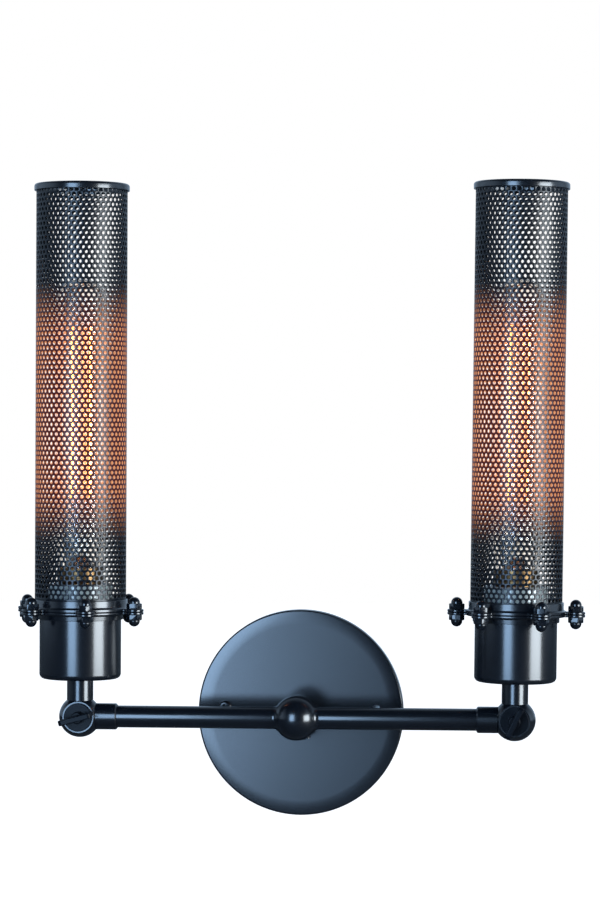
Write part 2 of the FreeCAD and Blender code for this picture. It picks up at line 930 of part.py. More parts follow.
def terminal_screws():
    screws = []
    for place in terminal_places():
        top = place + Z_WAY * holder_bottom
        head = rod(terminal_head_radius, top - Z_WAY * terminal_head_height, top)
        shank = rod(terminal_shank_radius, top, top + Z_WAY * terminal_shank_length)
        slot_low = at(-terminal_head_radius, -terminal_slot_width / 2, -terminal_head_height)
        slot_high = at(terminal_head_radius, terminal_slot_width / 2,
                       terminal_slot_depth - terminal_head_height)
        screws.append(head.fuse(shank).cut(block(top + slot_low, top + slot_high)))
    return Part.makeCompound(screws)


def bulb_contact():
    neck = bulb_insulator_radius - seat_clearance
    inside = bulb_insulator_top + cap_wall
    return turned([
        (0, bulb_contact_bottom),
        (bulb_contact_tip_radius, bulb_contact_bottom, bulb_contact_tip_height / 2),
        (bulb_contact_tip_radius, bulb_contact_bottom + bulb_contact_tip_height),
        (neck, bulb_insulator_top),
        (neck, inside),
        (0, inside),
    ])


def bulb_cap():
    inside = cap_radius - cap_wall
    return turned([
        (bulb_insulator_radius, bulb_insulator_top),
        (cap_radius, cap_shoulder),
        (cap_radius, cap_top, cap_wall / 2),
        (inside, cap_top),
        (inside, cap_shoulder + cap_wall / 2),
        (bulb_insulator_radius, bulb_insulator_top + cap_wall),
    ])


def bulb_glass():
    neck = cap_radius - cap_wall - seat_clearance
    return turned([
        (neck, glass_foot),
        (neck, glass_neck_top, glass_neck_round),
        (glass_radius, glass_shoulder, glass_shoulder_round),
        (glass_radius, glass_top, glass_dome_round),
        (0, glass_top),
        (0, glass_top - glass_wall),
        (glass_radius - glass_wall, glass_top - glass_wall, glass_dome_round - glass_wall),
        (glass_radius - glass_wall, glass_shoulder, glass_shoulder_round),
        (neck - glass_wall, glass_neck_top, glass_neck_round),
        (neck - glass_wall, glass_foot),
    ])


def bulb_stem():
    """Glass mount: flared foot, flat press, rod and button."""
    foot_radius = cap_radius - cap_wall - glass_wall - 2 * seat_clearance
    flare = turned([
        (0, stem_foot),
        (foot_radius, stem_foot),
        (foot_radius, stem_foot + stem_foot_height),
        (stem_flare_radius, stem_flare_top, stem_flare_round),
        (stem_flare_radius, stem_flare_top + stem_foot_height),
        (0, stem_flare_top + stem_foot_height),
    ])
    press = block(at(-press_width / 2, -press_thickness / 2, stem_flare_top),
                  at(press_width / 2, press_thickness / 2, press_top))
    middle = rod(rod_radius, Z_WAY * stem_flare_top, Z_WAY * rod_top)
    button = turned([
        (0, rod_top - rod_button_round),
        (rod_button_radius, rod_top - rod_button_round),
        (rod_button_radius, rod_top + rod_button_round, rod_button_round),
        (0, rod_top + rod_button_round),
    ])
    return flare.fuse(press).fuse(middle).fuse(button).removeSplitter()


def strand_place(index, height):
    turn = math.radians(360 / strand_count * (index + 0.5))
    return at(strand_circle_radius * math.sin(turn), -strand_circle_radius * math.cos(turn), height)


def filament_points():
    """Up and down the strand circle, one strand after the other."""
    points = []
    for i in range(strand_count):
        ends = [strand_place(i, strand_bottom), strand_place(i, strand_top)]
        points += ends if i % 2 == 0 else ends[::-1]
    return points


def joined_rods(points, radius):
    shape = None
    for start, end in zip(points, points[1:]):
        piece = rod(radius, start, end)
        shape = piece if shape is None else shape.fuse(piece)
        shape = shape.fuse(Part.makeSphere(radius, end))
    return shape


def bulb_filament():
    return joined_rods(filament_points(), strand_radius)


def bulb_support_wires():
    """Lead-in wires from the press to the filament's ends, and hooks from the rod."""
    points = filament_points()
    hold = strand_radius + hook_radius + seat_clearance
    wires = []
    for end, sign in ((points[0], 1), (points[-1], -1)):
        root = at(sign * (press_width / 2 - hook_radius), 0, press_top + seat_clearance)
        knee = at(end.x, end.y, end.z - hold)
        wires.append(joined_rods([root, knee], hook_radius))
    for i in range(0, strand_count, 2):
        middle = (strand_place(i, strand_top) + strand_place(i + 1, strand_top)) * 0.5
        wires.append(hook(middle - Z_WAY * hold, upper_hook_root))
    for i in range(1, strand_count - 1, 2):
        middle = (strand_place(i, strand_bottom) + strand_place(i + 1, strand_bottom)) * 0.5
        wires.append(hook(middle + Z_WAY * hold, lower_hook_root))
    return Part.makeCompound(wires)


def hook(tip, root_height):
    way = at(tip.x, tip.y, 0).normalize()
    root = way * (rod_radius + hook_radius + seat_clearance) + Z_WAY * root_height
    return joined_rods([root, tip], hook_radius)


def lamp_pieces(flange_turn):
    """Every piece that tilts with one lamp, built upright round its pivot."""
    return {
        "swivel_head": swivel_head(),
        "socket_cup": socket_cup(),
        "cup_nipple": cup_nipple(),
        "cup_nut": cup_nut(),
        "cup_flange": cup_flange(flange_turn),
        "cage_flange": cage_flange(flange_turn),
        "flange_studs": flange_studs(flange_turn),
        "upper_acorn_nuts": acorn_nuts(flange_turn, True),
        "lower_acorn_nuts": acorn_nuts(flange_turn, False),
        "cage": cage(),
        "cage_rim": cage_rim(),
        "lampholder": lampholder(),
        "screw_shell": screw_shell(),
        "centre_contact": centre_contact(),
        "terminal_screws": terminal_screws(),
        "bulb_contact": bulb_contact(),
        "bulb_cap": bulb_cap(),
        "bulb_glass": bulb_glass(),
        "bulb_stem": bulb_stem(),
        "bulb_filament": bulb_filament(),
        "bulb_support_wires": bulb_support_wires(),
    }


def main():
    os.makedirs("parts", exist_ok=True)
    save("backplate", backplate())
    save("canopy_screws", canopy_screws())
    save("mounting_crossbar", mounting_crossbar())
    save("ground_screw", ground_screw())
    save("hub", hub())
    save("hub_stem", hub_stem())
    save("hub_set_screw", hub_set_screw())
    save("threaded_nipple", threaded_nipple())
    save("nipple_nut", nipple_nut())
    save("arm_leads", arm_leads())
    for name, side, lean, flange_turn, wing_turn in SIDES:
        pivot = at(side * pivot_reach, -arm_axis_reach, 0)
        save(name + "_arm", arm(side))
        save(name + "_swivel_base", moved(swivel_base(side), pivot))
        save(name + "_swivel_washer", moved(swivel_washer(), pivot))
        save(name + "_thumb_screw", moved(thumb_screw(wing_turn), pivot))
        for piece, shape in lamp_pieces(flange_turn).items():
            shape.rotate(ORIGIN, Y_WAY, lean)
            save(name + "_" + piece, moved(shape, pivot))


main()
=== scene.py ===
"""Twin-lamp wall sconce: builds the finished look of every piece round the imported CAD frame."""

import math

import bpy
from bpy.props import FloatProperty, FloatVectorProperty, IntProperty, PointerProperty
from mathutils import Matrix, Quaternion, Vector


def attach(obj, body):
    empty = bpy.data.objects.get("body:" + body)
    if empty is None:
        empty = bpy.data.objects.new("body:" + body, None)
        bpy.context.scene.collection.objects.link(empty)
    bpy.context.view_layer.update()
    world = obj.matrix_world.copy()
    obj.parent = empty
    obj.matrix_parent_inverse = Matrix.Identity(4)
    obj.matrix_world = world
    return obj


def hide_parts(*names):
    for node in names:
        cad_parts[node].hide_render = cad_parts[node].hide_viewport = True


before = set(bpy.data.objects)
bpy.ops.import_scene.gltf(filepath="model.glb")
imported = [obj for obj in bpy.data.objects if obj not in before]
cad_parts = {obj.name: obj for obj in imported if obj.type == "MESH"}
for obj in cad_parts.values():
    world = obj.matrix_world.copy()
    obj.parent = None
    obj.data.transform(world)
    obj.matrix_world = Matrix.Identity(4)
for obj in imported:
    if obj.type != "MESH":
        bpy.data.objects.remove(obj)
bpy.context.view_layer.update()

bl_info = {
    "name": "Twin Lamp Wall Sconce",
    "version": (1, 0, 0),
    "blender": (4, 5, 0),
    "location": "3D View > Sidebar > Sconce",
    "description": "Models and finishes each piece of a wall sconce with two perforated cages",
    "category": "Object",
}

MM = 0.001
TURN = 2 * math.pi
ROUND_STEPS = 6
SMOOTH_ANGLE = math.radians(32)
PHOTO_LONG_SIDE = 899
SENSOR = 36

# Distances in metres within which points are one: in a piece, and at a cage's seams
WELD = 0.000002
SEAM_WELD = 0.00001

# Distance from the wall to the arms' axis, in millimetres
ARM_DEPTH = 42

# Places as in the CAD frame, in metres
ARM_AXIS = Vector((0, -ARM_DEPTH * MM, 0))
SIDE = {"left": -1, "right": 1}
PIVOT = {side: ARM_AXIS + Vector((0.1257 * sign, 0, 0)) for side, sign in SIDE.items()}
OUTWARD = Matrix.Rotation(math.pi / 2, 4, "X")
UPSIDE_DOWN = Matrix.Rotation(math.pi, 4, "X")

# Shapes in millimetres, with heights above the pivot of each lamp
NIPPLE_HOLE = 5.05
ARM_RADIUS = 6.35
STEM_RADIUS = 9.5
PLATE_RADIUS = 60.325
PLATE_SCREWS = 44.45
PLATE_SCREW_TURN = math.radians(3.5)
STUD_RADIUS = 2.0
NUT_FLATS = 7.8
FLANGE_JOINT = 61.4
FLANGE_THICKNESS = 1.6
RING_RADIUS = 28.5
BOLT_CIRCLE = 34.2
EAR_RADIUS = 5.4
EAR_NECK_HALF = 3.2
EAR_COUNT = 6
CUP_RADIUS = 23.6
CUP_BORE = 22.4
BAND_BORE = 26.45
CAGE_RADIUS = 26.4
CAGE_TOP = 306.75

# Corners of each hole's outline, and parts one above another that a cage is built from
HOLE_SIDES = 12
CAGE_PARTS = 3

# Lights by name: azimuth in degrees from the camera's side to the right, height of the
# middle, width and height in metres, and colour
LIGHT_AIM = ARM_AXIS + Vector((0, 0, 0.15))
LIGHT_DISTANCE = 2
LIGHTS = {
    "left_light": (-18.5, 0.19, (0.76, 1.2), (0.43, 0.67, 1.0)),
    "left_edge_light": (-4.9, 0.19, (0.26, 1.2), (0.43, 0.67, 1.0)),
    "right_light": (60, -0.02, (1.1, 1.2), (0.82, 0.92, 1.0)),
}
FLOOR_SIDE = 14
FLOOR_GLOW = 0.94

# Light in glossy reflections, behind and aside: the share of the direction where it
# begins and where it is full, and its strength at both
BEHIND_LIGHT = (0.1, 0.75, 0.04, 0.75)
ASIDE_LIGHT = (0.7, 0.95, 0.0, 1.3)

# Painted shade: the strands near the axis, at the front and back, are dimmed
# Distances in metres from the lamp's axis between which the strands brighten to the
# full, and their share of that brightness near the axis
STRAND_PAINTED_SHADE = (0.0032, 0.0044, 0.16)

# Heights in metres of the painted filament glow on the cages and the bulb glass, and of the
# strands' own light
CAGE_PAINTED_GLOW = {"Low": 0.1, "High": 0.252, "Soft": 0.034}
GLASS_PAINTED_GLOW = {"Low": 0.108, "High": 0.244, "Soft": 0.03}
STRAND_GLOW = {"Low": 0.122, "High": 0.23, "Soft": 0.012}


def length_property(name, description, millimetres):
    return FloatProperty(name=name, description=description, default=millimetres * MM,
                         subtype="DISTANCE", unit="LENGTH")


def angle_property(name, description, degrees):
    return FloatProperty(name=name, description=description, default=math.radians(degrees),
                         subtype="ANGLE", unit="ROTATION")


def colour_property(name, description, *value):
    return FloatVectorProperty(name=name, description=description, default=value,
                               subtype="COLOR", size=3)


def power_property(name, description, watts):
    return FloatProperty(name=name, description=description, default=watts, unit="POWER")


class SconceSizes(bpy.types.PropertyGroup):
    """Lengths, angles and counts that a user may want to change."""

    lean_left: angle_property("Left Lean", "Lean of the left lamp towards the right", 0.15)
    lean_right: angle_property("Right Lean", "Lean of the right lamp towards the right", 0.65)
    ears_left: angle_property("Left Flange Turn", "Turn of the left flanges from the front", 13)
    ears_right: angle_property("Right Flange Turn", "Turn of the right flanges from the front", 25)
    hole_radius: length_property(
        "Hole Radius", "Radius of each hole at the face of the cage", 1.3)
    throat_radius: length_property(
        "Throat Radius", "Radius of each hole past its turned-in edge", 1.04)
    edge_depth: length_property("Edge Depth", "Depth of each hole's turned-in edge", 0.12)
    row_pitch: length_property("Row Pitch", "Height from one row of holes to the next", 2.746)
    first_row_left: length_property(
        "Left First Row", "Height of the left cage's lowest holes above the pivot", 70.17)
    first_row_right: length_property(
        "Right First Row", "Height of the right cage's lowest holes above the pivot", 69.49)
    sheet_turn_left: angle_property(
        "Left Sheet Turn", "Turn of the left cage's rows of holes from the front", -1.56)
    sheet_turn_right: angle_property(
        "Right Sheet Turn", "Turn of the right cage's rows of holes from the front", 1.56)
    cage_wall: length_property("Cage Wall", "Thickness of the perforated sheet", 0.9)
    holes_round: IntProperty(
        name="Holes Round", description="Number of holes in one row round a cage", default=48)
    row_pairs: IntProperty(
        name="Row Pairs", description="Pairs of staggered rows up a cage", default=43)


class SconceColours(bpy.types.PropertyGroup):
    """Colours of the finishes."""

    enamel: colour_property("Enamel", "Black enamel on the casing and arms", 0.0018, 0.0028, 0.0048)
    dust: colour_property("Dust", "Faint dust on upward faces", 0.02, 0.023, 0.028)
    brass: colour_property("Brass", "Screw caps, shells and contacts", 0.32, 0.18, 0.07)
    zinc: colour_property("Zinc", "Plated nuts, nipples, studs and crossbar", 0.62, 0.63, 0.64)
    ceramic: colour_property("Ceramic", "Pale glaze of the lampholders", 0.46, 0.5, 0.47)
    glass: colour_property("Bulb Glass", "Tint of the bulb glass", 1.0, 0.97, 0.93)
    glow: colour_property("Filament Glow", "Light of the filament strands", 1.0, 0.36, 0.07)
    glow_strength: FloatProperty(
        name="Filament Strength", description="Brightness of the filament strands", default=12.0)


class SconceStage(bpy.types.PropertyGroup):
    """Camera, lights and floor."""

    camera_place: FloatVectorProperty(
        name="Camera Place", description="Where the camera stands",
        default=(0.1366, -1.792, 0.169), subtype="TRANSLATION", unit="LENGTH", size=3)
    camera_turn: angle_property(
        "Camera Turn", "Turn of the view to the left of straight ahead", 4.4)
    camera_pitch: angle_property("Camera Pitch", "Tilt of the view below level", 0.46)
    camera_roll: angle_property("Camera Roll", "Roll of the view, clockwise", 0.115)
    focal_pixels: FloatProperty(
        name="Focal Length", description="Focal length in pixels of the picture's long side",
        default=3045.7)
    left_light: power_property("Left Light", "Power of the tall light on the left", 43.0)
    left_edge_light: power_property(
        "Left Edge Light", "Power of the dim strip beside the left light", 2.4)
    right_light: power_property("Right Light", "Power of the tall light on the right", 82.0)
    floor_height: length_property("Floor Height", "Height of the floor below the arms", -350)


# Selecting and shaping

def take(*pieces):
    """Select these pieces alone, the last one active."""
    bpy.ops.object.select_all(action="DESELECT")
    for piece in pieces:
        piece.select_set(True)
    bpy.context.view_layer.objects.active = pieces[-1]


def edit(piece, tool="SELECT"):
    """Enter edit mode on one piece with everything, or nothing, selected."""
    take(piece)
    bpy.ops.object.mode_set(mode="EDIT")
    bpy.ops.mesh.select_all(action=tool)


def leave_edit():
    bpy.ops.object.mode_set(mode="OBJECT")


def pick_vertices(piece, test):
    """Select in edit mode the vertices whose place passes the test."""
    edit(piece, "DESELECT")
    bpy.ops.mesh.select_mode(type="VERT")
    leave_edit()
    for vertex in piece.data.vertices:
        vertex.select = test(vertex.co)
    bpy.ops.object.mode_set(mode="EDIT")


def tidy_skin(piece, angle=SMOOTH_ANGLE):
    """Weld the seams, turn the faces outwards and smooth all but the sharp edges."""
    edit(piece)
    bpy.ops.mesh.remove_doubles(threshold=WELD)
    bpy.ops.mesh.normals_make_consistent(inside=False)
    leave_edit()
    bpy.ops.object.shade_smooth_by_angle(angle=angle)


def set_down(piece, place):
    """Put a piece modelled at the origin in its place, and its object back at the origin."""
    take(piece)
    piece.matrix_world = place
    bpy.ops.object.transform_apply()


def added(add, name="", **settings):
    """The object that one of Blender's adding operators makes, selected alone."""
    bpy.ops.object.select_all(action="DESELECT")
    add(**settings)
    new = bpy.context.object
    if name:
        new.name = name
    return new


def modify(piece, kind, **settings):
    """Apply a modifier of this kind to a piece."""
    modifier = piece.modifiers.new(kind, kind)
    for name, value in settings.items():
        setattr(modifier, name, value)
    take(piece)
    bpy.ops.object.modifier_apply(modifier=modifier.name)


def copied(piece, name):
    take(piece)
    bpy.ops.object.duplicate()
    copy = bpy.context.object
    copy.name = name
    return copy


def joined(name, pieces):
    take(*pieces)
    bpy.ops.object.join()
    whole = bpy.context.object
    whole.name = name
    return whole


def spread(form, name, places):
    """Copies of a form, one in each place, joined to one piece."""
    copies = []
    for place in places:
        one = copied(form, "copy")
        set_down(one, place)
        copies.append(one)
    return joined(name, copies)


def combine(piece, tool, operation):
    """Boolean of a piece with a tool piece, which is used up."""
    modify(piece, "BOOLEAN", operation=operation, solver="EXACT", object=tool)
    bpy.data.objects.remove(tool)


def eased(corners, closed=True, steps=ROUND_STEPS):
    """Points in metres along (across, up) or (across, up, round radius) corners."""
    points = []
    count = len(corners)
    for i, corner in enumerate(corners):
        here = Vector(corner[:2])
        is_end = not closed and i in (0, count - 1)
        radius = corner[2] if len(corner) > 2 and not is_end else 0
        if not radius:
            points.append(here)
            continue
        back = (Vector(corners[i - 1][:2]) - here).normalized()
        ahead = (Vector(corners[(i + 1) % count][:2]) - here).normalized()
        half = back.angle(ahead) / 2
        centre = here + (back + ahead).normalized() * (radius / math.sin(half))
        start = here + back * (radius / math.tan(half)) - centre
        end = here + ahead * (radius / math.tan(half)) - centre
        first = math.atan2(start.y, start.x)
        sweep = math.remainder(math.atan2(end.y, end.x) - first, TURN)
        for k in range(steps + 1):
            angle = first + sweep * k / steps
            points.append(centre + Vector((math.cos(angle), math.sin(angle))) * radius)
    return [point * MM for point in points]


def drawn_line(name, points, closed, upright):
    """A line of edges extruded from point to point, standing in XZ or lying in XY."""
    def raised(point):
        return Vector((point.x, 0, point.y)) if upright else Vector((point.x, point.y, 0))

    line = added(bpy.ops.mesh.primitive_plane_add, name, size=MM, location=raised(points[0]))
    bpy.ops.object.mode_set(mode="EDIT")
    bpy.ops.mesh.merge(type="CENTER")
    path = points + points[:1] if closed else points
    for start, end in zip(path, path[1:]):
        step = raised(end) - raised(start)
        if step.length > WELD:
            bpy.ops.mesh.extrude_vertices_move(TRANSFORM_OT_translate={"value": step})
    bpy.ops.mesh.select_all(action="SELECT")
    bpy.ops.mesh.remove_doubles(threshold=WELD)
    return line


def turned(name, corners, closed=True, steps=96, round_steps=ROUND_STEPS):
    """A piece spun about the Z axis from its (radius, height) outline in millimetres."""
    piece = drawn_line(name, eased(corners, closed, round_steps), closed, True)
    bpy.ops.mesh.select_all(action="SELECT")
    bpy.ops.mesh.spin(steps=steps, angle=TURN, center=(0, 0, 0), axis=(0, 0, 1))
    leave_edit()
    take(piece)
    bpy.ops.object.transform_apply()
    tidy_skin(piece)
    return piece


def plain_rod(radius, low, high, sides=32):
    """A rod along Z that serves as a cutting tool or the start of a piece."""
    rod = added(bpy.ops.mesh.primitive_cylinder_add, vertices=sides, radius=radius * MM,
                depth=(high - low) * MM, location=(0, 0, (high + low) / 2 * MM))
    bpy.ops.object.transform_apply()
    return rod


def plain_block(size, centre):
    """A block that serves as a cutting tool or the start of a piece."""
    block = added(bpy.ops.mesh.primitive_cube_add, size=1, location=Vector(centre) * MM)
    block.scale = Vector(size) * MM
    bpy.ops.object.transform_apply()
    return block


def drill(piece, place, radius, low, high):
    """Drill a round hole along the Z axis of a place, from low to high."""
    hole = plain_rod(radius, low, high)
    set_down(hole, place)
    combine(piece, hole, "DIFFERENCE")


def soften(piece, width, segments=3):
    """Round the sharp edges of a piece."""
    modify(piece, "BEVEL", width=width * MM, segments=segments, limit_method="ANGLE",
           angle_limit=math.radians(50))


def fit(piece, body, material, slot, *nodes):
    """Give a finished piece its material and its body, and hide the CAD nodes it stands for."""
    piece.data.materials.clear()
    piece.data.materials.append(material)
    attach(piece, body)
    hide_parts(*nodes)


def keep(node_name, material):
    """Show a CAD node as it is, with its own finish."""
    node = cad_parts[node_name]
    node.data.materials.clear()
    node.data.materials.append(material)


def of_side(sizes, name, side):
    """The size that one side has of its own, such as lean_left."""
    return getattr(sizes, name + "_" + side)


def lamp_place(side, sizes):
    """Place of a lamp that is modelled upright round the origin."""
    lean = of_side(sizes, "lean", side)
    return Matrix.Translation(PIVOT[side]) @ Matrix.Rotation(lean, 4, "Y")


def ear_places(turn, height):
    """Turn and place of each ear's bolt, turned from the front towards +X."""
    places = []
    for i in range(EAR_COUNT):
        angle = turn + TURN * i / EAR_COUNT
        place = Vector((math.sin(angle), -math.cos(angle), 0)) * BOLT_CIRCLE * MM
        places.append((angle, place + Vector((0, 0, height * MM))))
    return places


# Materials

def fill_inputs(tree, node, inputs):
    """Link each named input of a node to the socket given for it, or set its value."""
    for name, value in inputs.items():
        if isinstance(value, bpy.types.NodeSocket):
            tree.links.new(value, node.inputs[name])
        else:
            node.inputs[name].default_value = value


def add_node(tree, kind, inputs=None, **settings):
    """A new node with its settings, values and links."""
    node = tree.nodes.new(kind)
    for name, value in settings.items():
        setattr(node, name, value)
    fill_inputs(tree, node, inputs or {})
    return node


def math_node(tree, operation, first, second):
    node = add_node(tree, "ShaderNodeMath", {0: first, 1: second}, operation=operation)
    return node.outputs[0]


def ranged(tree, value, low, high, start=0.0, end=1.0):
    """A value's way from low to high, clamped and spread from start to end."""
    node = add_node(tree, "ShaderNodeMapRange", {
        "Value": value, "From Min": low, "From Max": high, "To Min": start, "To Max": end})
    return node.outputs["Result"]


def noise(tree, place, scale, detail, roughness=0.5):
    node = add_node(tree, "ShaderNodeTexNoise", {
        "Vector": place, "Scale": scale, "Detail": detail, "Roughness": roughness})
    return node.outputs["Fac"]


def object_place(tree):
    return add_node(tree, "ShaderNodeTexCoord").outputs["Object"]


def split(tree, vector):
    """The X, Y and Z outputs of a vector."""
    return add_node(tree, "ShaderNodeSeparateXYZ", {"Vector": vector}).outputs


def seen_straight(tree, path):
    """One for rays from the camera and through glass, zero for all others."""
    return math_node(tree, "MAXIMUM", path["Is Camera Ray"], path["Is Transmission Ray"])


def mixed_colour(tree, factor, first, second):
    mix = add_node(tree, "ShaderNodeMix", {0: factor, 6: (*first, 1), 7: (*second, 1)},
                   data_type="RGBA")
    return mix.outputs[2]


def built_once(kind):
    """Let a builder return the material or node group of its name, if it is already there."""
    def wrap(build):
        def reuse(name, *values):
            known = getattr(bpy.data, kind)
            return known[name] if name in known else build(name, *values)
        return reuse
    return wrap


def new_group(name, inputs, outputs):
    """An empty node group with float inputs and outputs, its inputs' sockets and its end."""
    tree = bpy.data.node_groups.new(name, "ShaderNodeTree")
    for label, value in inputs.items():
        socket = tree.interface.new_socket(label, in_out="INPUT", socket_type="NodeSocketFloat")
        socket.default_value = value
    for label in outputs:
        tree.interface.new_socket(label, in_out="OUTPUT", socket_type="NodeSocketFloat")
    return tree, tree.nodes.new("NodeGroupInput").outputs, tree.nodes.new("NodeGroupOutput")


@built_once("node_groups")
def uneven_finish_group(name):
    """Roughness that wanders over a surface, and a fine ripple for its height."""
    tree, given, end = new_group(
        name, {"Patch Scale": 40.0, "Ripple Scale": 900.0, "Low": 0.2, "High": 0.4},
        ["Roughness", "Height"])
    place = object_place(tree)
    patches = noise(tree, place, given["Patch Scale"], 4.0, 0.6)
    fill_inputs(tree, end, {
        "Roughness": ranged(tree, patches, 0.3, 0.7, given["Low"], given["High"]),
        "Height": noise(tree, place, given["Ripple Scale"], 2.0)})
    return tree


@built_once("node_groups")
def settled_dust_group(name):
    """A mask of patchy dust on the faces that look up."""
    tree, given, end = new_group(name, {"Amount": 0.3, "Scale": 160.0}, ["Mask"])
    place = add_node(tree, "ShaderNodeTexCoord").outputs
    upward = ranged(tree, split(tree, place["Normal"])["Z"], 0.55, 1.0)
    specks = noise(tree, place["Object"], given["Scale"], 6.0, 0.7)
    both = math_node(tree, "MULTIPLY", upward, ranged(tree, specks, 0.42, 0.75))
    fill_inputs(tree, end, {"Mask": math_node(tree, "MULTIPLY", both, given["Amount"])})
    return tree


@built_once("node_groups")
def worn_edge_group(name):
    """A mask of the outer edges, broken up by noise."""
    tree, given, end = new_group(name, {"Amount": 0.4, "Scale": 300.0}, ["Mask"])
    point = add_node(tree, "ShaderNodeNewGeometry").outputs["Pointiness"]
    gaps = noise(tree, object_place(tree), given["Scale"], 5.0)
    both = math_node(tree, "MULTIPLY", ranged(tree, point, 0.52, 0.6),
                     ranged(tree, gaps, 0.45, 0.65))
    fill_inputs(tree, end, {"Mask": math_node(tree, "MULTIPLY", both, given["Amount"])})
    return tree


@built_once("node_groups")
def height_band_group(name):
    """A mask that is one between two heights and fades over a soft border."""
    tree, given, end = new_group(name, {"Low": 0.1, "High": 0.2, "Soft": 0.02}, ["Mask"])
    height = split(tree, object_place(tree))["Z"]
    above = math_node(tree, "SUBTRACT", height, given["Low"])
    below = math_node(tree, "SUBTRACT", given["High"], height)
    nearest = math_node(tree, "MINIMUM", above, below)
    share = math_node(tree, "DIVIDE", nearest, given["Soft"])
    mask = add_node(tree, "ShaderNodeMapRange", {"Value": share}, interpolation_type="SMOOTHSTEP")
    fill_inputs(tree, end, {"Mask": mask.outputs["Result"]})
    return tree


def add_group(tree, group, values):
    """A node for a group with these values, as its outputs."""
    return add_node(tree, "ShaderNodeGroup", values, node_tree=group).outputs


def dust_mask(tree, amount, scale):
    group = settled_dust_group("Settled Dust")
    return add_group(tree, group, {"Amount": amount, "Scale": scale})["Mask"]


def band_mask(tree, heights):
    return add_group(tree, height_band_group("Height Band"), heights)["Mask"]


def blank_material(name):
    """A new material with only its shader, and that shader."""
    material = bpy.data.materials.new(name)
    material.use_nodes = True
    return material, material.node_tree, material.node_tree.nodes["Principled BSDF"]


def add_finish(tree, shader, patch, ripple, low, high, depth=0.0):
    """Uneven roughness, and a ripple of some depth in metres, whose height is returned."""
    finish = add_group(tree, uneven_finish_group("Uneven Finish"), {
        "Patch Scale": patch, "Ripple Scale": ripple, "Low": low, "High": high})
    fill_inputs(tree, shader, {"Roughness": finish["Roughness"]})
    if depth:
        bump = add_node(tree, "ShaderNodeBump", {
            "Height": finish["Height"], "Strength": 0.35, "Distance": depth})
        fill_inputs(tree, shader, {"Normal": bump.outputs["Normal"]})
    return finish["Height"]


@built_once("materials")
def enamel_material(name, coat=1.0, coat_roughness=0.2, glow=None, strength=0.0):
    """Smooth black enamel with faint dust, and painted filament light in a band of heights where it
    has a glow.
    """
    colours = bpy.context.scene.sconce_colours
    material, tree, shader = blank_material(name)
    add_finish(tree, shader, 45.0, 700.0, 0.35, 0.45, 0.00002)
    dust = dust_mask(tree, 0.22, 420.0)
    fill_inputs(tree, shader, {
        "Base Color": mixed_colour(tree, dust, colours.enamel, colours.dust),
        "Specular IOR Level": 0.06, "Coat Weight": coat, "Coat Roughness": coat_roughness})
    # Painted light: the filament's warm glow as emission on the enamel, within a band of heights
    if glow:
        lit = mixed_colour(tree, band_mask(tree, CAGE_PAINTED_GLOW), (0, 0, 0), glow)
        fill_inputs(tree, shader, {"Emission Color": lit, "Emission Strength": strength})
    return material


@built_once("materials")
def metal_material(name, colour, dull, low, high):
    """Bare or plated metal with a duller, darker film in patches."""
    material, tree, shader = blank_material(name)
    height = add_finish(tree, shader, 120.0, 500.0, low, high, 0.00003)
    edge = add_group(tree, worn_edge_group("Worn Edge"), {"Amount": 0.6, "Scale": 500.0})
    film = math_node(tree, "SUBTRACT", height, edge["Mask"])
    fill_inputs(tree, shader, {
        "Base Color": mixed_colour(tree, film, colour, dull), "Metallic": 1.0})
    return material


@built_once("materials")
def coated_material(name, colour, speck, low, high, coat):
    """Paint, glaze, plastic or fibre with small specks of a second colour."""
    material, tree, shader = blank_material(name)
    height = add_finish(tree, shader, 90.0, 1200.0, low, high, 0.00004)
    specks = math_node(tree, "MAXIMUM", dust_mask(tree, 0.5, 800.0),
                       math_node(tree, "MULTIPLY", height, 0.3))
    fill_inputs(tree, shader, {
        "Base Color": mixed_colour(tree, specks, colour, speck),
        "Coat Weight": coat, "Coat Roughness": 0.08})
    return material


def let_light_out(tree, shader, share):
    """Let the filament's light through the glass without bending it."""
    path = add_node(tree, "ShaderNodeLightPath").outputs
    factor = math_node(tree, "MULTIPLY", path["Is Shadow Ray"], share)
    clear = add_node(tree, "ShaderNodeBsdfTransparent", {"Color": (1, 0.96, 0.9, 1)})
    mix = add_node(tree, "ShaderNodeMixShader", {
        0: factor, 1: shader.outputs[0], 2: clear.outputs[0]})
    fill_inputs(tree, tree.nodes["Material Output"], {"Surface": mix.outputs[0]})


@built_once("materials")
def bulb_glass_material(name):
    """Clear, faintly warm glass with a soft painted glow at the height of the filament."""
    colours = bpy.context.scene.sconce_colours
    material, tree, shader = blank_material(name)
    add_finish(tree, shader, 60.0, 200.0, 0.0, 0.04)
    # Painted light: an orange glow on the glass round the filament's height
    glow = mixed_colour(tree, band_mask(tree, GLASS_PAINTED_GLOW), (0, 0, 0), (1.0, 0.3, 0.08))
    fill_inputs(tree, shader, {
        "Base Color": (*colours.glass, 1), "Transmission Weight": 1.0, "IOR": 1.45,
        "Emission Color": glow, "Emission Strength": 0.08})
    let_light_out(tree, shader, 0.92)
    return material


@built_once("materials")
def stem_glass_material(name):
    """The cloudier glass of the bulb's stem."""
    material, tree, shader = blank_material(name)
    add_finish(tree, shader, 300.0, 500.0, 0.02, 0.2, 0.00008)
    fill_inputs(tree, shader, {
        "Base Color": (0.95, 0.93, 0.88, 1), "Transmission Weight": 1.0})
    let_light_out(tree, shader, 0.9)
    return material


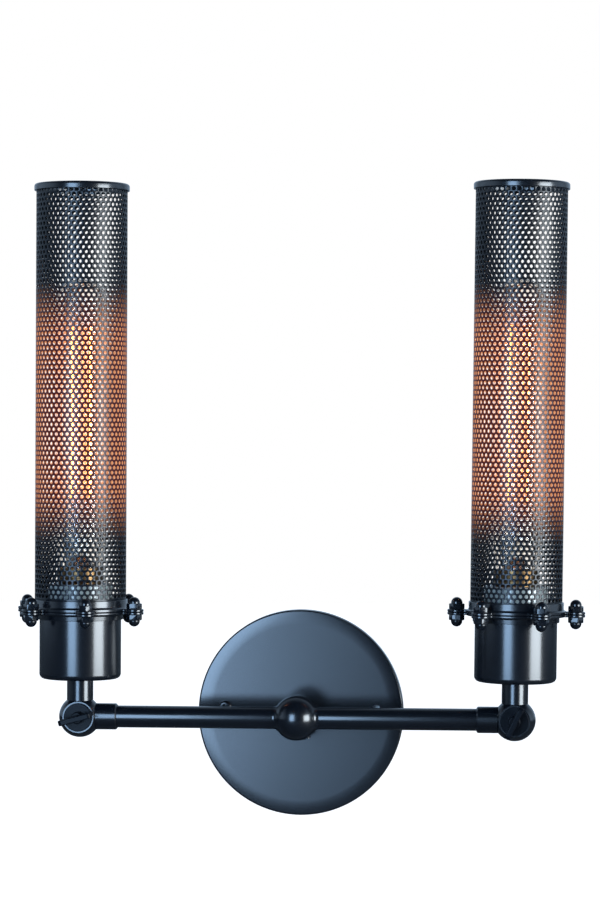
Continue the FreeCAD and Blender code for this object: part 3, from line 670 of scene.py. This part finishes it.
@built_once("materials")
def filament_material(name, foot, lean):
    """Strands that glow redder towards their ends, and dimmer at the front and back as painted
    shade.
    """
    colours = bpy.context.scene.sconce_colours
    material, tree, shader = blank_material(name)
    parts = split(tree, object_place(tree))
    rise = math_node(tree, "MULTIPLY", parts["Z"], math.tan(lean))
    axis = math_node(tree, "ADD", rise, foot)
    off_axis = math_node(tree, "ABSOLUTE", math_node(tree, "SUBTRACT", parts["X"], axis), 0.0)
    # Painted shade: strands near the lamp's axis, at the front and back, glow dimmer
    share = math_node(tree, "MULTIPLY", band_mask(tree, STRAND_GLOW),
                      ranged(tree, off_axis, *STRAND_PAINTED_SHADE))
    fill_inputs(tree, shader, {
        "Base Color": (0.2, 0.18, 0.16, 1),
        "Emission Color": mixed_colour(tree, share, (0.1, 0.02, 0.003), colours.glow),
        "Emission Strength": colours.glow_strength})
    return material


def brass_material():
    return metal_material("Drawn Brass", bpy.context.scene.sconce_colours.brass,
                          (0.2, 0.11, 0.05), 0.22, 0.4)


def zinc_material():
    return metal_material("Zinc Plate", bpy.context.scene.sconce_colours.zinc,
                          (0.36, 0.37, 0.39), 0.3, 0.5)


# Operators

class SCONCE_OT_stage(bpy.types.Operator):
    """Set the floor, the lights, the white surroundings and the camera"""

    bl_idname = "sconce.stage"
    bl_label = "Stage"

    def execute(self, context):
        stage = context.scene.sconce_stage
        self.add_floor(stage)
        for name, values in LIGHTS.items():
            self.add_light(name, getattr(stage, name), *values)
        self.add_camera(context, stage)
        self.set_world(context)
        context.scene.view_settings.view_transform = "Standard"
        return {"FINISHED"}

    def add_floor(self, stage):
        """A pale floor that is darker in glossy reflections."""
        floor = added(bpy.ops.mesh.primitive_plane_add, "floor", size=FLOOR_SIDE,
                      location=(0, 0, stage.floor_height))
        material, tree, shader = blank_material("Pale Floor")
        path = add_node(tree, "ShaderNodeLightPath").outputs
        colour = mixed_colour(tree, path["Is Glossy Ray"], (0.85,) * 3, (0.1,) * 3)
        fill_inputs(tree, shader, {"Base Color": colour, "Roughness": 0.9})
        strength = math_node(tree, "MULTIPLY", seen_straight(tree, path), FLOOR_GLOW)
        glow = add_node(tree, "ShaderNodeEmission", {
            "Color": (1, 1, 1, 1), "Strength": strength})
        both = add_node(tree, "ShaderNodeAddShader", {0: shader.outputs[0], 1: glow.outputs[0]})
        fill_inputs(tree, tree.nodes["Material Output"], {"Surface": both.outputs[0]})
        floor.data.materials.append(material)

    def add_light(self, name, power, azimuth, height, size, colour):
        """A tall soft light that faces the sconce."""
        turn = math.radians(azimuth)
        way = Vector((LIGHT_DISTANCE * math.sin(turn), -LIGHT_DISTANCE * math.cos(turn),
                      height - LIGHT_AIM.z))
        light = added(bpy.ops.object.light_add, name, type="AREA", location=LIGHT_AIM + way)
        light.rotation_euler = (-way).to_track_quat("-Z", "Y").to_euler()
        light.data.shape = "RECTANGLE"
        light.data.size, light.data.size_y = size
        light.data.energy = power
        light.data.color = colour

    def add_camera(self, context, stage):
        camera = added(bpy.ops.object.camera_add, location=stage.camera_place)
        level = math.cos(stage.camera_pitch)
        way = Vector((-math.sin(stage.camera_turn) * level, math.cos(stage.camera_turn) * level,
                      -math.sin(stage.camera_pitch)))
        roll = Quaternion((0, 0, 1), stage.camera_roll)
        camera.rotation_euler = (way.to_track_quat("-Z", "Y") @ roll).to_euler()
        camera.data.sensor_fit = "VERTICAL"
        camera.data.sensor_height = SENSOR
        camera.data.lens = stage.focal_pixels / PHOTO_LONG_SIDE * SENSOR
        camera.data.clip_end = 50
        context.scene.camera = camera

    def set_world(self, context):
        """White for the eye and for glass; for gloss, light behind and aside, dim in front."""
        world = bpy.data.worlds.new("Studio")
        context.scene.world = world
        world.use_nodes = True
        tree = world.node_tree
        parts = split(tree, add_node(tree, "ShaderNodeTexCoord").outputs["Generated"])
        behind = ranged(tree, parts["Y"], *BEHIND_LIGHT)
        sideways = math_node(tree, "ABSOLUTE", parts["X"], 0.0)
        around = math_node(tree, "MAXIMUM", behind, ranged(tree, sideways, *ASIDE_LIGHT))
        dim = tree.nodes["Background"]
        fill_inputs(tree, dim, {"Color": (0.55, 0.75, 1.0, 1), "Strength": around})
        white = add_node(tree, "ShaderNodeBackground", {"Color": (1, 1, 1, 1), "Strength": 1.0})
        seen = seen_straight(tree, add_node(tree, "ShaderNodeLightPath").outputs)
        mix = add_node(tree, "ShaderNodeMixShader", {
            0: seen, 1: dim.outputs[0], 2: white.outputs[0]})
        fill_inputs(tree, tree.nodes["World Output"], {"Surface": mix.outputs[0]})


class SCONCE_OT_backplate(bpy.types.Operator):
    """Spin the round backplate and set its two cross-recess screws"""

    bl_idname = "sconce.backplate"
    bl_label = "Backplate"

    def execute(self, context):
        black = enamel_material("Black Enamel")
        plate = turned("backplate_shell", [
            (NIPPLE_HOLE, 9), (53, 9, 80), (PLATE_RADIUS, 8.7, 1.1), (PLATE_RADIUS, 0.35, 0.15),
            (60.1, 0), (59.125, 0), (59.125, 7.5, 0.5), (53, 7.8, 80), (NIPPLE_HOLE, 7.8)],
            steps=160)
        for x, z in self.screw_places():
            drill(plate, Matrix.Translation(Vector((x, -z, 0)) * MM), 2.35, -1, 12)
        tidy_skin(plate)
        set_down(plate, OUTWARD)
        fit(plate, "wall_frame", black, "black_enamel", "backplate")
        screws = []
        for x, z in self.screw_places():
            screw = self.add_screw("canopy_screw_form")
            set_down(screw, Matrix.Translation(Vector((x, 0, z)) * MM) @ OUTWARD)
            screws.append(screw)
        pair = joined("canopy_screw_pair", screws)
        fit(pair, "wall_frame", black, "black_enamel", "canopy_screws")
        return {"FINISHED"}

    def screw_places(self):
        across = PLATE_SCREWS * math.cos(PLATE_SCREW_TURN)
        up = -PLATE_SCREWS * math.sin(PLATE_SCREW_TURN)
        return [(-across, -up), (across, up)]

    def add_screw(self, name):
        """Pan head with a cross recess, and a threaded shank down to the wall."""
        shank = [(2.05 - 0.28 * (i % 2), 8.8 - 0.35 * i) for i in range(24)]
        screw = turned(name, [(0, 11.4), (4.05, 11.4, 1.5), (4.05, 9.0, 0.15), (2.05, 9.0)]
                       + shank + [(1.4, 0), (0, 0)], closed=False, steps=48)
        for turn in (0, 90):
            slot = plain_block((4.4, 1.0, 2.6), (0, 0, 11.4))
            set_down(slot, Matrix.Rotation(math.radians(turn + 20), 4, "Z"))
            combine(screw, slot, "DIFFERENCE")
        tidy_skin(screw)
        return screw


class SCONCE_OT_hub(bpy.types.Operator):
    """Spin the centre ball with its blended sockets, and the stem behind it"""

    bl_idname = "sconce.hub"
    bl_label = "Hub and Stem"

    def execute(self, context):
        black = enamel_material("Black Enamel")
        hub = self.add_hub()
        fit(hub, "wall_frame", black, "black_enamel", "hub")
        stem = turned("hub_stem_spacer", [
            (NIPPLE_HOLE, 9), (STEM_RADIUS, 9, 0.3), (STEM_RADIUS, 33.13, 0.3),
            (NIPPLE_HOLE, 33.13)])
        set_down(stem, OUTWARD)
        turn = Matrix.Rotation(math.radians(180 - 21), 4, "Y")
        drill(stem, Matrix.Translation((0, -0.024, 0)) @ turn, 1.55, 0, 14)
        tidy_skin(stem)
        fit(stem, "wall_frame", black, "black_enamel", "hub_stem")
        keep("hub_set_screw", black)
        return {"FINISHED"}

    def add_hub(self):
        """Ball of radius 13 that blends at 3.6 into spigots for the arms."""
        ball, blend = 13.0, 3.6
        end = math.sqrt((ball + blend) ** 2 - (ARM_RADIUS + blend) ** 2)
        centre = Vector((ARM_RADIUS + blend, end))
        touch = math.atan2(centre.y, centre.x)
        side = []
        for k in range(1, 13):
            angle = touch * k / 12
            side.append((ball * math.cos(angle), ball * math.sin(angle)))
        for k in range(1, 9):
            angle = math.pi + touch * (1 - k / 8)
            side.append(tuple(centre + Vector((math.cos(angle), math.sin(angle))) * blend))
        side += [(5.1, end), (5.1, end + 8), (3.6, end + 8)]
        whole = [(ball, 0)] + side + [(r, -z) for r, z in reversed(side)]
        hub = turned("hub_ball", whole, steps=128)
        flat = math.sqrt(ball ** 2 - STEM_RADIUS ** 2)
        set_down(hub, Matrix.Translation(ARM_AXIS) @ Matrix.Rotation(math.pi / 2, 4, "Y"))
        back = plain_block((40, 20, 40), (0, flat - ARM_DEPTH + 10, 0))
        combine(hub, back, "DIFFERENCE")
        drill(hub, Matrix.Translation((0, -0.022, 0)) @ OUTWARD, NIPPLE_HOLE, 0, 20)
        tidy_skin(hub, math.radians(28))
        return hub


class SCONCE_OT_arms(bpy.types.Operator):
    """Spin the two tube arms between the hub and the ball swivels"""

    bl_idname = "sconce.arms"
    bl_label = "Arms"

    def execute(self, context):
        black = enamel_material("Black Enamel")
        for side in PIVOT:
            arm = turned(side + "_arm_tube", [
                (5.15, 13.3), (ARM_RADIUS, 13.3, 0.15), (ARM_RADIUS, 111.9, 0.15),
                (5.15, 111.9)])
            set_down(arm, Matrix.Translation(ARM_AXIS)
                     @ Matrix.Rotation(SIDE[side] * math.pi / 2, 4, "Y"))
            fit(arm, "wall_frame", black, "black_enamel", side + "_arm")
        return {"FINISHED"}


class SCONCE_OT_swivels(bpy.types.Operator):
    """Finish the ball swivels and their thumb screws"""

    bl_idname = "sconce.swivels"
    bl_label = "Swivels"

    def execute(self, context):
        black = enamel_material("Black Enamel")
        for side in PIVOT:
            keep(side + "_swivel_base", black)
            keep(side + "_swivel_head", black)
            keep(side + "_thumb_screw", enamel_material("Satin Enamel", 0.03))
        return {"FINISHED"}


class SCONCE_OT_cups(bpy.types.Operator):
    """Spin the socket cups"""

    bl_idname = "sconce.cups"
    bl_label = "Socket Cups"

    def execute(self, context):
        sizes = context.scene.sconce_sizes
        black = enamel_material("Black Enamel")
        for side in PIVOT:
            cup = turned(side + "_cup_shell", [
                (NIPPLE_HOLE, 22), (CUP_RADIUS, 22, 3), (CUP_RADIUS, 59.8), (CUP_BORE, 59.8),
                (CUP_BORE, 23.2, 1.8), (NIPPLE_HOLE, 23.2)], steps=160, round_steps=10)
            set_down(cup, lamp_place(side, sizes))
            fit(cup, side + "_lamp", black, "black_enamel", side + "_socket_cup")
        return {"FINISHED"}


class SCONCE_OT_flanges(bpy.types.Operator):
    """Draw, punch and round the six-eared flanges, and join their collars"""

    bl_idname = "sconce.flanges"
    bl_label = "Flanges"

    def execute(self, context):
        sizes = context.scene.sconce_sizes
        black = enamel_material("Black Enamel")
        for side in PIVOT:
            turn = of_side(sizes, "ears", side)
            low = self.add_plate(side + "_lower_ring", CUP_BORE, turn,
                                 FLANGE_JOINT - FLANGE_THICKNESS)
            skirt = turned("skirt", [
                (23.65, 56.4), (24.85, 56.4, 0.25), (24.85, 59.8, 1.0), (25.85, 59.8),
                (25.85, 60.6), (23.65, 60.6)], steps=144)
            combine(low, skirt, "UNION")
            high = self.add_plate(side + "_upper_ring", BAND_BORE, turn, FLANGE_JOINT)
            band = turned("band", [
                (BAND_BORE, 62.2), (28.65, 62.2), (28.65, 63.0), (27.25, 63.0, 1.4),
                (27.25, 67.9, 0.3), (BAND_BORE, 67.9)], steps=144)
            combine(high, band, "UNION")
            for ring, node in ((low, "_cup_flange"), (high, "_cage_flange")):
                tidy_skin(ring)
                set_down(ring, lamp_place(side, sizes))
                fit(ring, side + "_lamp", black, "black_enamel", side + node)
        return {"FINISHED"}

    def ear_outline(self, turn):
        """One sixth of the ring's edge, from valley to valley past an ear."""
        half = []
        valley = math.pi / EAR_COUNT
        start = math.asin((EAR_NECK_HALF + 1.3) / RING_RADIUS)
        for k in range(8):
            angle = -valley + (valley - start) * k / 7
            half.append((RING_RADIUS * math.sin(angle), RING_RADIUS * math.cos(angle)))
        root = math.sqrt(RING_RADIUS ** 2 - EAR_NECK_HALF ** 2)
        lobe = math.sqrt(EAR_RADIUS ** 2 - EAR_NECK_HALF ** 2)
        half += [(-EAR_NECK_HALF, root, 0.8), (-EAR_NECK_HALF, BOLT_CIRCLE - lobe, 0.8)]
        open_half = math.atan2(EAR_NECK_HALF, lobe) + 0.13
        arc = []
        for k in range(25):
            angle = open_half + (TURN - 2 * open_half) * k / 24
            arc.append((-EAR_RADIUS * math.sin(angle), BOLT_CIRCLE - EAR_RADIUS * math.cos(angle)))
        mirror = [(-point[0], *point[1:]) for point in reversed(half)]
        cosine, sine = math.cos(turn), math.sin(turn)
        return [(across * cosine + along * sine, across * sine - along * cosine, *rest)
                for across, along, *rest in half + arc + mirror[:-1]]

    def add_plate(self, name, inner, turn, height):
        corners = []
        for i in range(EAR_COUNT):
            corners += self.ear_outline(turn + TURN * i / EAR_COUNT)
        plate = drawn_line(name, eased(corners, True, 4), True, False)
        leave_edit()
        take(plate)
        bpy.ops.object.transform_apply()
        edit(plate, "DESELECT")
        bpy.ops.mesh.primitive_circle_add(vertices=144, radius=inner * MM)
        for _, place in ear_places(turn, 0):
            bpy.ops.mesh.primitive_circle_add(vertices=32, radius=2.2 * MM, location=place)
        bpy.ops.mesh.select_all(action="SELECT")
        bpy.ops.mesh.fill(use_beauty=True)
        bpy.ops.mesh.select_all(action="SELECT")
        bpy.ops.mesh.extrude_region_move(
            TRANSFORM_OT_translate={"value": (0, 0, FLANGE_THICKNESS * MM)})
        leave_edit()
        tidy_skin(plate)
        soften(plate, 0.45)
        set_down(plate, Matrix.Translation((0, 0, height * MM)))
        tidy_skin(plate)
        return plate


class SCONCE_OT_fasteners(bpy.types.Operator):
    """Model one acorn nut and one stud, and set them round the flanges"""

    bl_idname = "sconce.fasteners"
    bl_label = "Acorn Nuts and Studs"

    def execute(self, context):
        sizes = context.scene.sconce_sizes
        black = enamel_material("Nut Enamel", 0.8, 0.1)
        nut = self.add_nut()
        stud = turned("stud_form", [(0, 6.1), (1.7, 6.1)]
                      + [(STUD_RADIUS - 0.26 * (i % 2), 5.9 - 0.35 * i) for i in range(34)]
                      + [(1.7, -6.1), (0, -6.1)], closed=False, steps=24)
        for side in PIVOT:
            turn = of_side(sizes, "ears", side)
            place = lamp_place(side, sizes)
            for level, flip, node in ((FLANGE_JOINT + FLANGE_THICKNESS, Matrix(), "upper"),
                                      (FLANGE_JOINT - FLANGE_THICKNESS, UPSIDE_DOWN, "lower")):
                places = [
                    place @ Matrix.Translation(spot) @ flip
                    @ Matrix.Rotation(angle + math.radians(17) * i, 4, "Z")
                    for i, (angle, spot) in enumerate(ear_places(turn, level))]
                group = spread(nut, side + "_" + node + "_nuts", places)
                fit(group, side + "_lamp", black, "black_enamel",
                    side + "_" + node + "_acorn_nuts")
            group = spread(stud, side + "_stud_set", [
                place @ Matrix.Translation(spot) for _, spot in ear_places(turn, FLANGE_JOINT)])
            fit(group, side + "_lamp", zinc_material(), "zinc_steel", side + "_flange_studs")
        bpy.data.objects.remove(nut)
        bpy.data.objects.remove(stud)
        return {"FINISHED"}

    def add_nut(self):
        """Chamfered hexagon with a domed cap and a bore for the stud."""
        nut = plain_rod(NUT_FLATS / math.sqrt(3), 0, 3.2, sides=6)
        chamfer = turned("chamfer", [
            (0, 0), (4.1, 0), (4.6, 0.45), (4.6, 2.75), (4.1, 3.2), (0, 3.2)],
            closed=False, steps=72)
        combine(nut, chamfer, "INTERSECT")
        dome = turned("dome", [(0, 6.9), (3.3, 6.9, 3.3), (3.3, 1.6), (0, 1.6)],
                      closed=False, steps=72, round_steps=14)
        combine(nut, dome, "UNION")
        drill(nut, Matrix(), STUD_RADIUS + 0.05, -1, 5.0)
        nut.name = "nut_form"
        soften(nut, 0.12, 2)
        tidy_skin(nut)
        return nut


class SCONCE_OT_cages(bpy.types.Operator):
    """Punch the staggered holes, wrap the sheet into a tube and give it its thickness"""

    bl_idname = "sconce.cages"
    bl_label = "Perforated Cages"

    def execute(self, context):
        sizes = context.scene.sconce_sizes
        # Painted light: a faint warm glow on the cage's outside and a brighter one inside, both
        # standing in for the filament's light
        outer = enamel_material("Cage Enamel", 0.35, 0.2, (1.0, 0.06, 0.006), 0.06)
        inner = enamel_material("Lit Enamel", 0.35, 0.2, (1.0, 0.4, 0.18), 0.68)
        steps = [sizes.row_pairs * i // CAGE_PARTS for i in range(CAGE_PARTS + 1)]
        for side in PIVOT:
            first = of_side(sizes, "first_row", side)
            turn = of_side(sizes, "sheet_turn", side)
            for i, (below, above) in enumerate(zip(steps, steps[1:])):
                piece = self.add_sheet(sizes, side + "_cage_part_" + str(i + 1), above - below,
                                       first + below * 2 * sizes.row_pitch)
                if i == 0:
                    self.extend(piece, min, FLANGE_JOINT)
                if above == sizes.row_pairs:
                    self.extend(piece, max, CAGE_TOP)
                self.thicken(piece, sizes)
                set_down(piece, Matrix.Rotation(turn, 4, "Z"))
                fit(piece, side + "_lamp", outer, "black_enamel", side + "_cage")
                self.line(piece, inner)
                set_down(piece, lamp_place(side, sizes))
        return {"FINISHED"}

    def line(self, piece, material):
        """Give the inside of the tube its own finish, which carries painted filament light."""
        piece.data.materials.append(material)
        for face in piece.data.polygons:
            outwards = Vector((face.center.x, face.center.y, 0)).normalized()
            face.material_index = int(face.normal.dot(outwards) < -0.3)

    def add_cell(self, sizes, name, half):
        """One hole in its piece of sheet, lying flat, with half the piece's width given."""
        cell = added(bpy.ops.mesh.primitive_grid_add, name, x_subdivisions=4,
                     y_subdivisions=2, size=2)
        pick_vertices(cell, lambda co: abs(co.x) < 0.9 and abs(co.y) < 0.9)
        bpy.ops.mesh.delete(type="VERT")
        bpy.ops.mesh.select_all(action="SELECT")
        bpy.ops.transform.resize(value=(half, sizes.row_pitch / 2, 1))
        bpy.ops.mesh.primitive_circle_add(vertices=HOLE_SIDES, radius=sizes.hole_radius)
        bpy.ops.mesh.select_all(action="SELECT")
        bpy.ops.mesh.bridge_edge_loops()
        leave_edit()
        pick_vertices(cell, lambda co: co.length < sizes.hole_radius + WELD)
        bpy.ops.mesh.extrude_edges_move(
            TRANSFORM_OT_translate={"value": (0, 0, -sizes.edge_depth)})
        narrower = sizes.throat_radius / sizes.hole_radius
        bpy.ops.transform.resize(value=(narrower, narrower, 1))
        leave_edit()
        return cell

    def repeat(self, piece, count, step):
        modify(piece, "ARRAY", count=count, use_relative_offset=False,
               use_constant_offset=True, constant_offset_displace=step)

    def add_sheet(self, sizes, name, pairs, first):
        """Staggered rows of holes, bent round the Z axis."""
        half = CAGE_RADIUS * math.pi / sizes.holes_round * MM
        rise = sizes.row_pitch
        sheet = self.add_cell(sizes, name, half)
        self.repeat(sheet, sizes.holes_round, (2 * half, 0, 0))
        edit(sheet)
        bpy.ops.mesh.duplicate_move(TRANSFORM_OT_translate={"value": (half, rise, 0)})
        leave_edit()
        self.repeat(sheet, pairs, (0, 2 * rise, 0))
        set_down(sheet, Matrix.Translation((0, 0, first)) @ Matrix.Rotation(math.pi / 2, 4, "X"))
        modify(sheet, "SIMPLE_DEFORM", deform_method="BEND", deform_axis="Z",
               angle=TURN * (sizes.holes_round + 0.5) / sizes.holes_round)
        set_down(sheet, Matrix.Translation((0, -CAGE_RADIUS * MM, 0)))
        edit(sheet)
        bpy.ops.mesh.remove_doubles(threshold=SEAM_WELD)
        leave_edit()
        return sheet

    def extend(self, sheet, which, height):
        """Draw the sheet's end edge on to a height, as a plain strip."""
        end = which(vertex.co.z for vertex in sheet.data.vertices)
        pick_vertices(sheet, lambda co: abs(co.z - end) < SEAM_WELD)
        bpy.ops.mesh.extrude_edges_move(
            TRANSFORM_OT_translate={"value": (0, 0, height * MM - end)})
        leave_edit()

    def thicken(self, sheet, sizes):
        """Turn the sheet's faces outwards and add its wall on the inside."""
        edit(sheet)
        bpy.ops.mesh.normals_make_consistent(inside=False)
        leave_edit()
        face = sheet.data.polygons[0]
        if face.normal.dot(Vector((face.center.x, face.center.y, 0))) < 0:
            edit(sheet)
            bpy.ops.mesh.flip_normals()
            leave_edit()
        modify(sheet, "SOLIDIFY", thickness=sizes.cage_wall, offset=-1)
        bpy.ops.object.shade_smooth_by_angle(angle=SMOOTH_ANGLE)


class SCONCE_OT_rims(bpy.types.Operator):
    """Spin the rolled rims on the cages' open tops"""

    bl_idname = "sconce.rims"
    bl_label = "Cage Rims"

    def execute(self, context):
        sizes = context.scene.sconce_sizes
        black = enamel_material("Black Enamel")
        for side in PIVOT:
            rim = turned(side + "_rim_ring", [
                (BAND_BORE, 304.2), (27.6, 304.2, 0.4), (27.6, 308.3, 1.6), (24.7, 308.3, 1.2),
                (24.7, 304.2, 0.2), (25.45, 304.2), (25.45, 306.8), (BAND_BORE, 306.8)],
                steps=160, round_steps=8)
            set_down(rim, lamp_place(side, sizes))
            fit(rim, side + "_lamp", black, "black_enamel", side + "_cage_rim")
        return {"FINISHED"}


class SCONCE_OT_lampholders(bpy.types.Operator):
    """Spin the ceramic lampholders and finish their metal parts"""

    bl_idname = "sconce.lampholders"
    bl_label = "Lampholders"

    def execute(self, context):
        sizes = context.scene.sconce_sizes
        colours = context.scene.sconce_colours
        glaze = coated_material("Pale Glaze", colours.ceramic, (0.3, 0.36, 0.37), 0.2, 0.34, 1.0)
        for side in PIVOT:
            holder = turned(side + "_holder_body", [
                (NIPPLE_HOLE, 34), (14.5, 34, 1.2), (18.5, 38.5, 1.2), (18.5, 60.6), (18.1, 61.0),
                (18.1, 62.0), (18.5, 62.4), (18.5, 77, 1.2), (13.85, 77, 0.8), (13.85, 50),
                (0, 50)], closed=False, steps=96)
            base = turned("base", [(0, 40), (NIPPLE_HOLE, 40), (NIPPLE_HOLE, 34)], closed=False)
            holder = joined(side + "_holder_body", [base, holder])
            tidy_skin(holder)
            for x in (-10.5, 10.5):
                drill(holder, Matrix.Translation((x * MM, 0, 0)), 1.55, 33, 39.5)
            tidy_skin(holder)
            set_down(holder, lamp_place(side, sizes))
            fit(holder, side + "_lamp", glaze, "lampholder_ceramic", side + "_lampholder")
            for part in ("_screw_shell", "_centre_contact", "_terminal_screws"):
                keep(side + part, brass_material())
        return {"FINISHED"}


class SCONCE_OT_bulbs(bpy.types.Operator):
    """Blow the bulb glass, roll the screw caps and light the filaments"""

    bl_idname = "sconce.bulbs"
    bl_label = "Bulbs"

    def execute(self, context):
        sizes = context.scene.sconce_sizes
        for side in PIVOT:
            place = lamp_place(side, sizes)
            glass = turned(side + "_bulb_envelope", [
                (12.65, 80), (12.65, 88, 8), (14.75, 101, 22), (14.75, 253, 12.5), (0, 253),
                (0, 252.2), (13.95, 252.2, 11.7), (13.95, 101, 22), (11.85, 88, 8),
                (11.85, 80)], steps=128, round_steps=12)
            set_down(glass, place)
            fit(glass, side + "_bulb", bulb_glass_material("Bulb Glass"), "bulb_glass",
                side + "_bulb_glass")
            cap = self.add_cap(side + "_screw_cap")
            set_down(cap, place)
            fit(cap, side + "_bulb", brass_material(), "brass", side + "_bulb_cap")
            keep(side + "_bulb_stem", stem_glass_material("Stem Glass"))
            keep(side + "_bulb_filament", filament_material(
                side.capitalize() + " Filament", PIVOT[side].x, of_side(sizes, "lean", side)))
            keep(side + "_bulb_support_wires", metal_material(
                "Support Wire", (0.55, 0.52, 0.48), (0.3, 0.27, 0.24), 0.3, 0.5))
            keep(side + "_bulb_contact", coated_material(
                "Contact Insulator", (0.06, 0.05, 0.05), (0.12, 0.11, 0.1), 0.25, 0.4, 0.6))
        return {"FINISHED"}

    def add_cap(self, name):
        """Thin sleeve whose wall rolls in and out with the screw thread."""
        low, high, step, rows = 62.5, 86, 0.25, 95
        pitch, depth, fade_end, fade_length = 3.63, 0.75, 80.5, 2
        outside = [(13.05, low + step * i) for i in range(rows)]
        inside = [(12.7, high - step * i) for i in range(rows)]
        cap = turned(name, [(7.4, 60)] + outside + inside + [(7.4, 60.4)], steps=96)
        for vertex in cap.data.vertices:
            radius = math.hypot(vertex.co.x, vertex.co.y)
            rise = vertex.co.z / MM
            fade = min(max((rise - low) / fade_length, 0),
                       max((fade_end - rise) / fade_length, 0), 1)
            if fade > 0 and radius > 0.012:
                turn = math.atan2(vertex.co.y, vertex.co.x) / TURN
                wave = 0.5 - 0.5 * math.cos(TURN * (rise / pitch - turn))
                shrink = 1 - depth * MM * wave * fade / radius
                vertex.co.x *= shrink
                vertex.co.y *= shrink
        tidy_skin(cap)
        return cap


class SCONCE_OT_wall_hardware(bpy.types.Operator):
    """Finish the hidden hardware, the wires and the friction washers"""

    bl_idname = "sconce.wall_hardware"
    bl_label = "Wall Hardware"

    def execute(self, context):
        for name in ("mounting_crossbar", "threaded_nipple", "nipple_nut"):
            keep(name, zinc_material())
        keep("ground_screw", coated_material(
            "Green Dip", (0.04, 0.3, 0.1), (0.02, 0.12, 0.05), 0.3, 0.5, 0.3))
        keep("arm_leads", coated_material(
            "Lead Insulation", (0.12, 0.11, 0.1), (0.2, 0.19, 0.18), 0.45, 0.6, 0.0))
        for side in PIVOT:
            keep(side + "_cup_nipple", zinc_material())
            keep(side + "_cup_nut", zinc_material())
            keep(side + "_swivel_washer", coated_material(
                "Fibre Washer", (0.35, 0.1, 0.07), (0.22, 0.06, 0.05), 0.6, 0.8, 0.0))
        return {"FINISHED"}


class SCONCE_PT_build(bpy.types.Panel):
    """Lists the steps that build the sconce"""

    bl_idname = "SCONCE_PT_build"
    bl_label = "Wall Sconce"
    bl_space_type = "VIEW_3D"
    bl_region_type = "UI"
    bl_category = "Sconce"

    def draw(self, context):
        for step in STEPS:
            self.layout.operator(step.bl_idname)
        for group in (context.scene.sconce_sizes, context.scene.sconce_colours,
                      context.scene.sconce_stage):
            for name in group.__annotations__:
                self.layout.prop(group, name)


STEPS = (
    SCONCE_OT_stage, SCONCE_OT_backplate, SCONCE_OT_hub, SCONCE_OT_arms, SCONCE_OT_swivels,
    SCONCE_OT_cups, SCONCE_OT_flanges, SCONCE_OT_fasteners, SCONCE_OT_cages, SCONCE_OT_rims,
    SCONCE_OT_lampholders, SCONCE_OT_bulbs, SCONCE_OT_wall_hardware,
)
GROUPS = (SconceSizes, SconceColours, SconceStage)


def register():
    for one in GROUPS + STEPS + (SCONCE_PT_build,):
        bpy.utils.register_class(one)
    bpy.types.Scene.sconce_sizes = PointerProperty(type=SconceSizes)
    bpy.types.Scene.sconce_colours = PointerProperty(type=SconceColours)
    bpy.types.Scene.sconce_stage = PointerProperty(type=SconceStage)


def unregister():
    del bpy.types.Scene.sconce_stage
    del bpy.types.Scene.sconce_colours
    del bpy.types.Scene.sconce_sizes
    for one in reversed(GROUPS + STEPS + (SCONCE_PT_build,)):
        bpy.utils.unregister_class(one)


def main():
    register()
    for step in STEPS:
        part, name = step.bl_idname.split(".")
        getattr(getattr(bpy.ops, part), name)()


if __name__ == "__main__":
    main()
